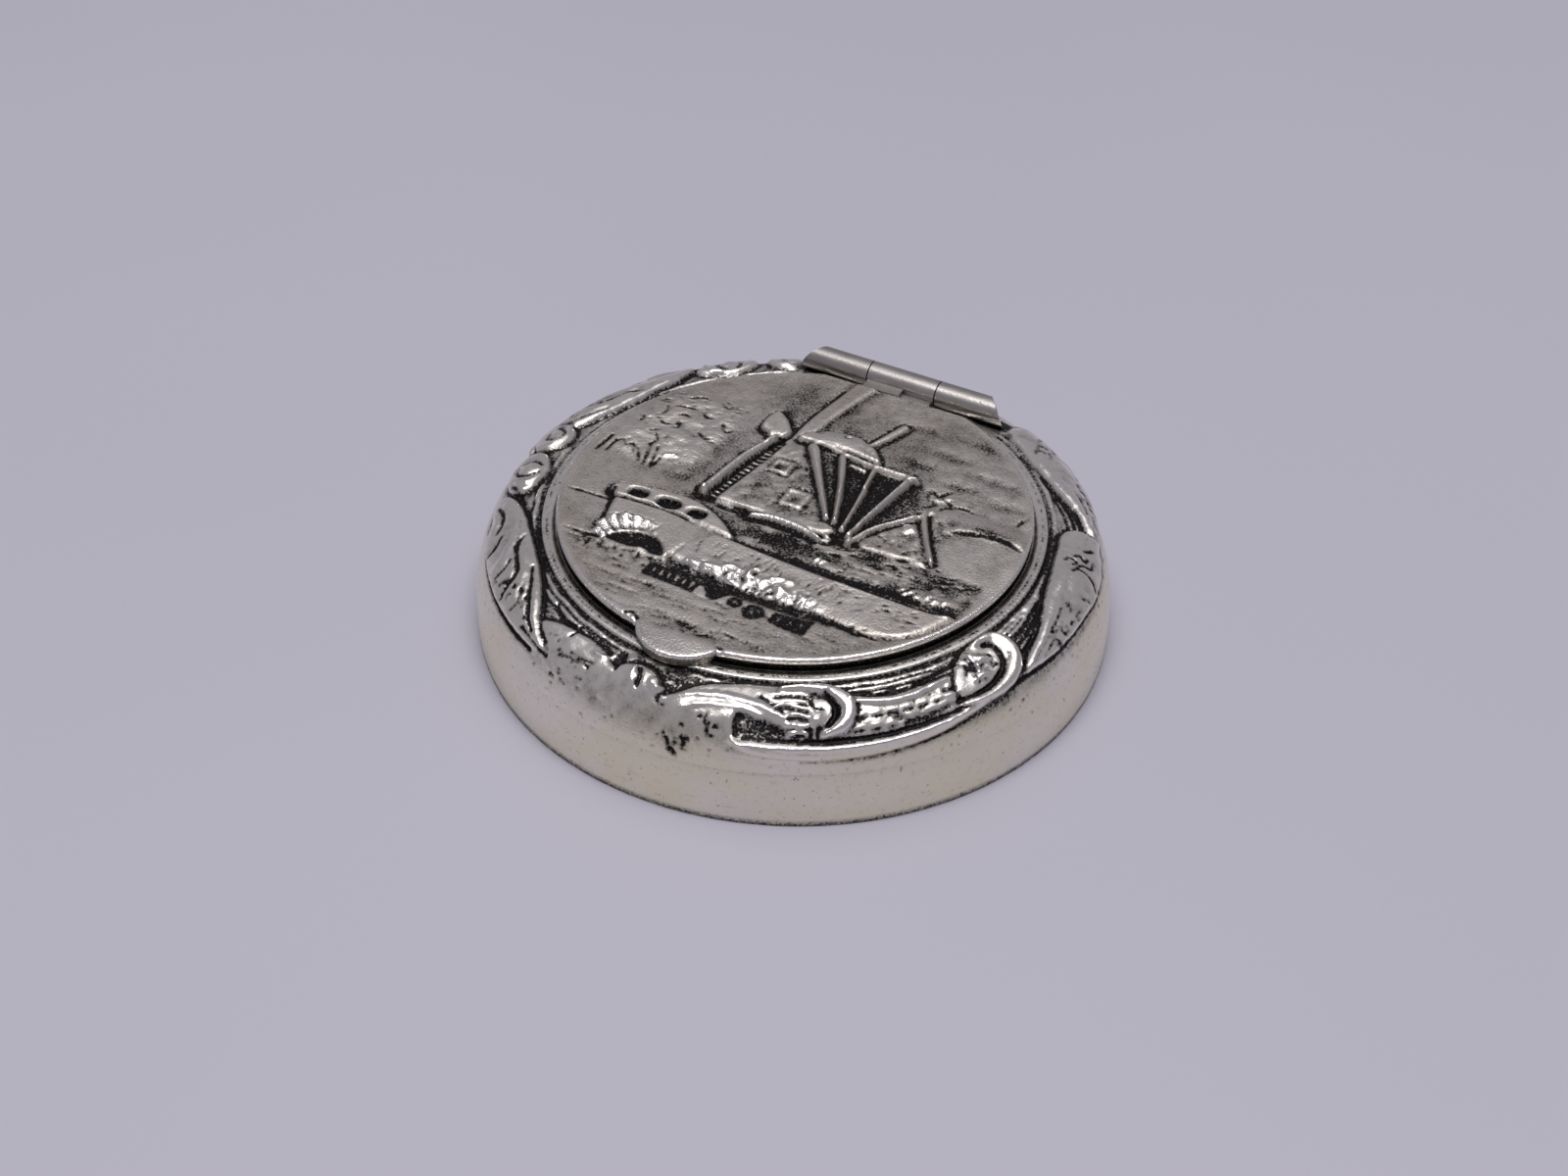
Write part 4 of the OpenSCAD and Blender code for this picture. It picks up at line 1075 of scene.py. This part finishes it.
def shoulder_profile():
    """Points down the outside of the shell from the ring to the foot, with the length along it."""
    radius, height = shoulder_point(np.linspace(math.pi / 2, 0, 400))
    radius = np.append(radius, BODY_R)
    height = np.append(height, 0.0)
    length = np.concatenate([[0], np.cumsum(np.hypot(np.diff(radius), np.diff(height)))])
    return length, radius, height


def shell_inside():
    """Radius and height of rows round the foot, up inside the wall and under the shoulder to the ring."""
    return [(BODY_R - 0.03, 0.03), (BODY_R - 0.12, 0.0), (BODY_R - SHELL_T + 0.06, 0.0),
            (BODY_R - SHELL_T, 0.06), (BODY_R - SHELL_T, WALL_Z),
            *(shoulder_point(a, SHELL_T) for a in np.radians([25, 45, 60, 72, 81, 90]))]


def make_shell():
    # Columns are finer on the side that the camera sees, and rows on the shoulder than on the wall.
    degrees = np.concatenate([np.linspace(-80, 130, 760, endpoint=False),
                              np.linspace(130, 280, 330, endpoint=False)])
    length, radius, height = shoulder_profile()
    fine_rows = 68
    s = np.concatenate([np.linspace(0, SHOULDER_LENGTH, fine_rows),
                        np.linspace(SHOULDER_LENGTH, length[-1] - 0.12, 9)[1:]])
    deg, along = np.meshgrid(degrees, s)
    turned = (deg - math.degrees(PICTURE_TURN) + 180) % 360 - 180
    relief = Relief(turned * DEGREE_MM, along, unit=DEGREE_MM, seed=9, soft=1.4)
    draw_shoulder(relief)
    relief.height = (SHELL_LIFT * blurred(relief.height.reshape(deg.shape), 1)).ravel()
    # On the plain lower part only what is drawn is black, and at the back less of it.
    share = 1 - 0.9 * smoothstep((along - 4.9) / 0.5)
    share *= 1 - 0.4 * away_from_front(relief).reshape(deg.shape)
    dark = oxide_map(relief, deg.shape, share=share)
    dark[fine_rows:] = np.clip(relief.dark.reshape(deg.shape)[fine_rows:], 0, 1)
    # Painted shade: a dark line where the box stands on the table.
    dark[-1] = 0.55
    radius_out = np.interp(along, length, radius)
    slope_r = np.gradient(np.interp(s, length, radius), s)
    slope_z = np.gradient(np.interp(s, length, height), s)
    size = np.hypot(slope_r, slope_z)
    # The relief dies away under the hinge, where the knuckles are soldered on.
    x, y = polar(radius_out, deg)
    at_hinge = smoothstep((SMOOTH_X - np.abs(x)) / 1.2) * smoothstep((y - 15.5) / 1.0)
    lift = relief.height.reshape(deg.shape) * smoothstep(along / 0.25) * (1 - at_hinge)
    dark = dark * (1 - 0.6 * at_hinge)
    x, y = polar(radius_out + (-slope_z / size)[:, None] * lift, deg)
    z = np.interp(along, length, height) + (slope_r / size)[:, None] * lift
    # Painted shade: black on the shoulder next to the hinge's knuckles, where they shadow it.
    beside = smoothstep((KNUCKLE_R + 0.5 - np.hypot(y - HINGE.y, z - HINGE.z)) / 0.35)
    dark = np.maximum(dark, 0.85 * beside * smoothstep((KNUCKLE_SHADE_X - np.abs(x)) / 0.4))
    vertices = [np.stack([x.ravel(), y.ravel(), hinge_room(x, y, z).ravel()], -1)]
    inside = shell_inside()
    for radius_in, z_in in inside:
        x, y = polar(radius_in, degrees)
        vertices.append(np.stack([x, y, hinge_room(x, y, np.full(degrees.size, z_in))], -1))
    plain = len(inside) * degrees.size
    shell = mesh_object("embossed_shell", np.vstack(vertices),
                        tube_faces(s.size + len(inside), degrees.size)[:, ::-1],
                        {"oxide_and_shade": np.append(dark, np.full(plain, 0.35)),
                         "rubbed": np.append(np.clip(relief.gloss, 0, 1), np.zeros(plain))})
    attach(shell, "box")
    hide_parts("outer_shell")
    return shell


# ---- the ring


def hump(relief, middle, half):
    """1 on a line round the ring at that radius, falling to 0 at half a width from it."""
    return np.clip(1 - ((relief.y - middle) / half)**2, 0, 1)


def draw_ring(r):
    """A flat land, a roped bead along its outer edge and a groove outside that; y is the radius."""
    worn = smoothstep(0.5 + 1.2 * r.noise(6.0, 13))
    rope = worn * (0.5 + 0.5 * np.sin(r.x * 2 * math.pi / 0.42 + 5 * r.noise(1.6, 5)))
    moulding = hump(r, SEAT_R - 0.5, 0.52)
    r.height += moulding * 0.13
    bead = hump(r, SEAT_R - 0.16, 0.16)
    r.height += bead * 0.05 * rope
    groove = hump(r, SEAT_R + 0.05, 0.16)
    r.height -= 0.20 * groove
    r.dark += groove * 0.95 + 0.35 * bead * (worn - rope)
    r.dark += 0.10 * moulding * smoothstep(0.5 + r.rough(0.6, 17))
    r.gloss += 0.5 * bead * rope
    both_sides = np.exp(-((np.abs(r.y - (SEAT_R - 0.2)) - 0.24) / 0.09)**2)
    r.dark += 0.7 * both_sides * smoothstep(0.4 + 1.6 * r.rough(0.3, 23))
    # Painted shade: black on the land under the lid's edge, where the lid shadows it.
    r.dark += smoothstep((LID_R + 0.05 - r.y) / 0.12) * smoothstep((r.y - LID_R + 0.5) / 0.3)
    r.dark *= 1 - 0.5 * away_from_front(r)
    r.height += 0.008 * r.rough(0.5, 7)
    r.pits(60, (-180, 180), (COLLAR_R + 0.9, SEAT_R - 0.6), 0.06, 0.03, 0.7)


def make_ring():
    columns = 1400
    inner = [(COLLAR_R, SEAT_Z - 0.5), (COLLAR_R, SEAT_Z - 0.05), (COLLAR_R + 0.05, SEAT_Z)]
    land = [(r, SEAT_Z) for r in np.linspace(COLLAR_R + 0.3, SEAT_R + 0.1, 30)]
    outer = [(SEAT_R + 0.1, SEAT_Z - 0.25), (SEAT_R + 0.05, SEAT_Z - 0.5)]
    outline = np.array(inner + land + outer)
    degrees, radius = np.meshgrid(np.linspace(0, 360, columns, endpoint=False), outline[:, 0])
    turned = (degrees + 180) % 360 - 180
    relief = Relief(turned * DEGREE_MM, radius, unit=DEGREE_MM, seed=3)
    draw_ring(relief)
    lift = relief.height.reshape(radius.shape)
    lift[:len(inner)] = 0
    lift[-len(outer):] = 0
    x, y = polar(radius, degrees)
    z = hinge_room(x, y, outline[:, 1:] + lift)
    ring = mesh_object("beaded_seat_ring", np.stack([x.ravel(), y.ravel(), z.ravel()], -1),
                       tube_faces(len(outline), columns),
                       {"oxide_and_shade": np.clip(relief.dark, 0, 1), "rubbed": np.clip(relief.gloss, 0, 1)})
    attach(ring, "box")
    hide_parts("seat_ring")
    return ring


# ---------------------------------------------------------------- materials


class Graph:
    """A short way to wire a material's nodes."""

    def __init__(self, name):
        self.material = bpy.data.materials.new(name)
        self.material.use_nodes = True
        self.tree = self.material.node_tree
        self.shader = self.tree.nodes["Principled BSDF"]
        coordinate = self.tree.nodes.new("ShaderNodeTexCoord")
        self.place = self.node("ShaderNodeMapping", Vector=coordinate.outputs["Object"])
        self.place.inputs["Scale"].default_value = (1 / MM,) * 3
        self.mm = self.place.outputs["Vector"]

    def node(self, kind, settings=None, **inputs):
        made = self.tree.nodes.new(kind)
        for key, value in (settings or {}).items():
            setattr(made, key, value)
        for key, value in inputs.items():
            self.feed(made.inputs[key], value)
        return made

    def feed(self, socket, value):
        if isinstance(value, bpy.types.NodeSocket):
            self.tree.links.new(value, socket)
        else:
            socket.default_value = value

    def noise(self, scale, detail=2.0, vector=None):
        made = self.node("ShaderNodeTexNoise", Vector=vector or self.mm, Scale=scale, Detail=detail)
        return made.outputs["Fac"]

    def range(self, value, low, high, to_low=0.0, to_high=1.0):
        made = self.node("ShaderNodeMapRange", Value=value)
        for key, number in (("From Min", low), ("From Max", high), ("To Min", to_low), ("To Max", to_high)):
            made.inputs[key].default_value = number
        return made.outputs["Result"]

    def math(self, operation, a, b):
        made = self.node("ShaderNodeMath", {"operation": operation, "use_clamp": operation != "MULTIPLY"})
        self.feed(made.inputs[0], a)
        self.feed(made.inputs[1], b)
        return made.outputs["Value"]

    def mix(self, factor, a, b):
        made = self.node("ShaderNodeMix", {"data_type": "RGBA"})
        self.feed(made.inputs[0], factor)
        self.feed(made.inputs[6], a)
        self.feed(made.inputs[7], b)
        return made.outputs[2]

    def attribute(self, name):
        return self.node("ShaderNodeAttribute", {"attribute_name": name}).outputs["Fac"]


def silver(name, clean, tarnish, roughness, oxide_and_shade=True, scratches=0.12, grain=0.5, depth=0.03, stain=None):
    """Aged silver. clean and tarnish are its two tones; the black is from the mesh's map of patina and
    painted shade, or else painted shade by ambient occlusion.

    scratches and grain are how strong two bump layers are, and depth is the second one's height in
    millimetres. stain is a third tone, in clouds on the lower part of the box.
    """
    g = Graph(name)
    black = (0.018, 0.016, 0.017, 1)
    bright = (0.80, 0.77, 0.74, 1)
    bright_roughness = 0.16
    clouds = g.range(g.noise(0.12, 4.0), 0.44, 0.62)
    tone = g.mix(clouds, clean + (1,), tarnish + (1,))
    if stain:
        height = g.node("ShaderNodeSeparateXYZ", Vector=g.mm).outputs["Z"]
        low = g.math("MULTIPLY", g.range(g.noise(0.16, 3.0), 0.42, 0.60, 0.4, 1.0), g.range(height, 7.4, 5.4))
        tone = g.mix(low, tone, stain + (1,))
    grime = g.range(g.noise(2.6, 4.0), 0.56, 0.74, 0.0, 0.30)
    specks = g.range(g.noise(3.4, 2.0), 0.69, 0.73, 0.0, 0.8)
    if oxide_and_shade:
        drawn = g.attribute("oxide_and_shade")
        stipple = g.range(g.noise(6.0, 4.0), 0.35, 0.65, 0.7, 1.7)
        mottled = g.math("MULTIPLY", drawn, stipple)
        dark = g.math("ADD", g.range(mottled, 0.06, 0.78), g.math("MULTIPLY", grime, 0.5))
        dark = g.math("ADD", dark, g.math("MULTIPLY", specks, 0.6))
        shine = g.attribute("rubbed")
        tone = g.mix(shine, tone, bright)
        smoother = g.math("MULTIPLY", shine, roughness - bright_roughness)
        base_rough = g.math("SUBTRACT", roughness, smoother)
        final_rough = g.math("ADD", base_rough, g.math("MULTIPLY", dark, 0.3))
    else:
        # Painted shade: ambient occlusion blackens the colour in crevices and between the hinge's parts.
        hollow = g.node("ShaderNodeAmbientOcclusion", {"samples": 8}, Distance=0.9 * MM).outputs["AO"]
        dark = g.math("ADD", g.math("MULTIPLY", grime, 0.3), g.math("MULTIPLY", specks, 0.4))
        dark = g.math("ADD", dark, g.range(hollow, 0.55, 0.15))
        final_rough = g.math("ADD", roughness, g.math("MULTIPLY", dark, 0.3))
    g.feed(g.shader.inputs["Base Color"], g.mix(dark, tone, black))
    wear = g.range(g.noise(0.9, 3.0), 0.3, 0.7, -0.04, 0.05)
    g.feed(g.shader.inputs["Roughness"], g.math("ADD", final_rough, wear))
    g.shader.inputs["Metallic"].default_value = 1.0
    hair = g.node("ShaderNodeMapping", Vector=g.mm)
    hair.inputs["Scale"].default_value = (0.6, 9.0, 5.0)
    hair.inputs["Rotation"].default_value = (0.3, 0.2, 0.9)
    lines = g.noise(1.2, 2.0, hair.outputs["Vector"])
    fine = g.noise(6.0, 5.0)
    first = g.node("ShaderNodeBump", Height=lines, Strength=scratches)
    first.inputs["Distance"].default_value = 0.05 * MM
    second = g.node("ShaderNodeBump", Height=fine, Strength=grain, Normal=first.outputs["Normal"])
    second.inputs["Distance"].default_value = depth * MM
    g.feed(g.shader.inputs["Normal"], second.outputs["Normal"])
    return g.material


def floor_material():
    g = Graph("pale_table")
    g.place.inputs["Scale"].default_value = (1, 1, 1)
    tone = g.mix(g.range(g.noise(9.0, 2.0), 0.35, 0.65), (0.470, 0.458, 0.532, 1), (0.486, 0.473, 0.543, 1))
    g.feed(g.shader.inputs["Base Color"], tone)
    g.shader.inputs["Roughness"].default_value = 0.55
    g.shader.inputs["Specular IOR Level"].default_value = 0.3
    return g.material


def soften(piece, width):
    """Rounds a CAD piece's sharp edges, as wear does."""
    bevel = piece.modifiers.new("worn edges", "BEVEL")
    bevel.width = width * MM
    bevel.segments = 3
    bevel.limit_method = "ANGLE"
    bevel.angle_limit = math.radians(40)
    bevel.harden_normals = True


def dress(piece, material):
    piece.data.materials.clear()
    piece.data.materials.append(material)


# ---------------------------------------------------------------- the stage


def make_floor():
    bpy.ops.mesh.primitive_plane_add(size=3.2, location=(0, 0, 0))
    floor = bpy.context.object
    floor.name = "table_top"
    dress(floor, floor_material())


def softbox(name, place, across, size, power, colour):
    """A rectangular light that faces the origin, with its long side along a direction."""
    light = bpy.data.lights.new(name, "AREA")
    light.shape = "RECTANGLE"
    light.size = size[0]
    light.size_y = size[1]
    light.energy = power
    light.color = colour
    holder = bpy.data.objects.new(name, light)
    back = Vector(place).normalized()
    up = back.cross(Vector(across)).normalized()
    turn = Matrix((up.cross(back), up, back)).transposed()
    holder.matrix_world = Matrix.Translation(place) @ turn.to_4x4()
    bpy.context.scene.collection.objects.link(holder)


def make_lights():
    world = bpy.data.worlds.new("soft_room")
    world.use_nodes = True
    background = world.node_tree.nodes["Background"]
    background.inputs["Color"].default_value = (0.92, 0.90, 1.0, 1)
    background.inputs["Strength"].default_value = 0.34
    bpy.context.scene.world = world
    # All three lie along the viewer's left and right.
    across = (0.887, 0.461, 0)
    tube_size = (0.42, 0.03)
    tube_white = (1.0, 0.99, 0.98)
    softbox("ceiling", (0.02, 0.06, 0.9), across, (1.0, 0.9), 1.8, (1.0, 0.985, 1.0))
    softbox("near_tube", (0.05, -0.11, 0.55), across, tube_size, 0.8, tube_white)
    softbox("far_tube", (0.01, -0.02, 0.56), across, tube_size, 0.8, tube_white)


def make_camera():
    """A camera aimed near the origin; the last three turns are how far off it is aimed and tilted."""
    azimuth = math.radians(27.5)
    elevation = math.radians(39.52)
    away = Vector((math.sin(azimuth) * math.cos(elevation), -math.cos(azimuth) * math.cos(elevation),
                   math.sin(elevation)))
    back = away
    right = Vector((math.cos(azimuth), math.sin(azimuth), 0))
    up = back.cross(right)
    turn = Matrix.Rotation(math.radians(0.25), 3, up)
    right = turn @ right
    back = turn @ back
    tip = Matrix.Rotation(math.radians(0.40), 3, right)
    up = tip @ up
    back = tip @ back
    roll = Matrix.Rotation(math.radians(-1.24), 3, -back)
    right = roll @ right
    up = roll @ up
    camera = bpy.data.cameras.new("camera")
    camera.lens = 49.5
    camera.sensor_width = 36
    holder = bpy.data.objects.new("camera", camera)
    place = Matrix.Translation(155.6 * MM * away)
    holder.matrix_world = place @ Matrix((right, up, back)).transposed().to_4x4()
    bpy.context.scene.collection.objects.link(holder)
    bpy.context.scene.camera = holder


# ---------------------------------------------------------------- putting it together

make_camera()
make_floor()
make_lights()

shell_silver = silver("aged_silver", (0.86, 0.82, 0.77), (0.80, 0.76, 0.70), 0.22, stain=(0.80, 0.74, 0.58))
lid_silver = silver("lid_silver", (0.61, 0.575, 0.535), (0.53, 0.485, 0.44), 0.42, grain=1.0, depth=0.05)
worn_silver = silver("worn_silver", (0.45, 0.425, 0.41), (0.39, 0.365, 0.345), 0.36, oxide_and_shade=False,
                     scratches=0.03)
inner_silver = silver("inner_silver", (0.86, 0.82, 0.74), (0.82, 0.77, 0.62), 0.18, oxide_and_shade=False, grain=0.15)
wire_silver = silver("wire_silver", (0.5, 0.48, 0.46), (0.4, 0.38, 0.35), 0.4, oxide_and_shade=False)

dress(make_lid(), lid_silver)
dress(make_shell(), shell_silver)
dress(make_ring(), shell_silver)
for name in ("hinge_knuckle_left", "hinge_knuckle_right", "lid_knuckle", "lid_hinge_leaf"):
    dress(NODES[name], worn_silver)
    soften(NODES[name], 0.07)
for name in ("base_plate", "inner_collar", "lid_back_plate", "lid_snap_rim"):
    dress(NODES[name], inner_silver)
dress(NODES["hinge_pin"], wire_silver)

bpy.context.scene.view_settings.view_transform = "Standard"
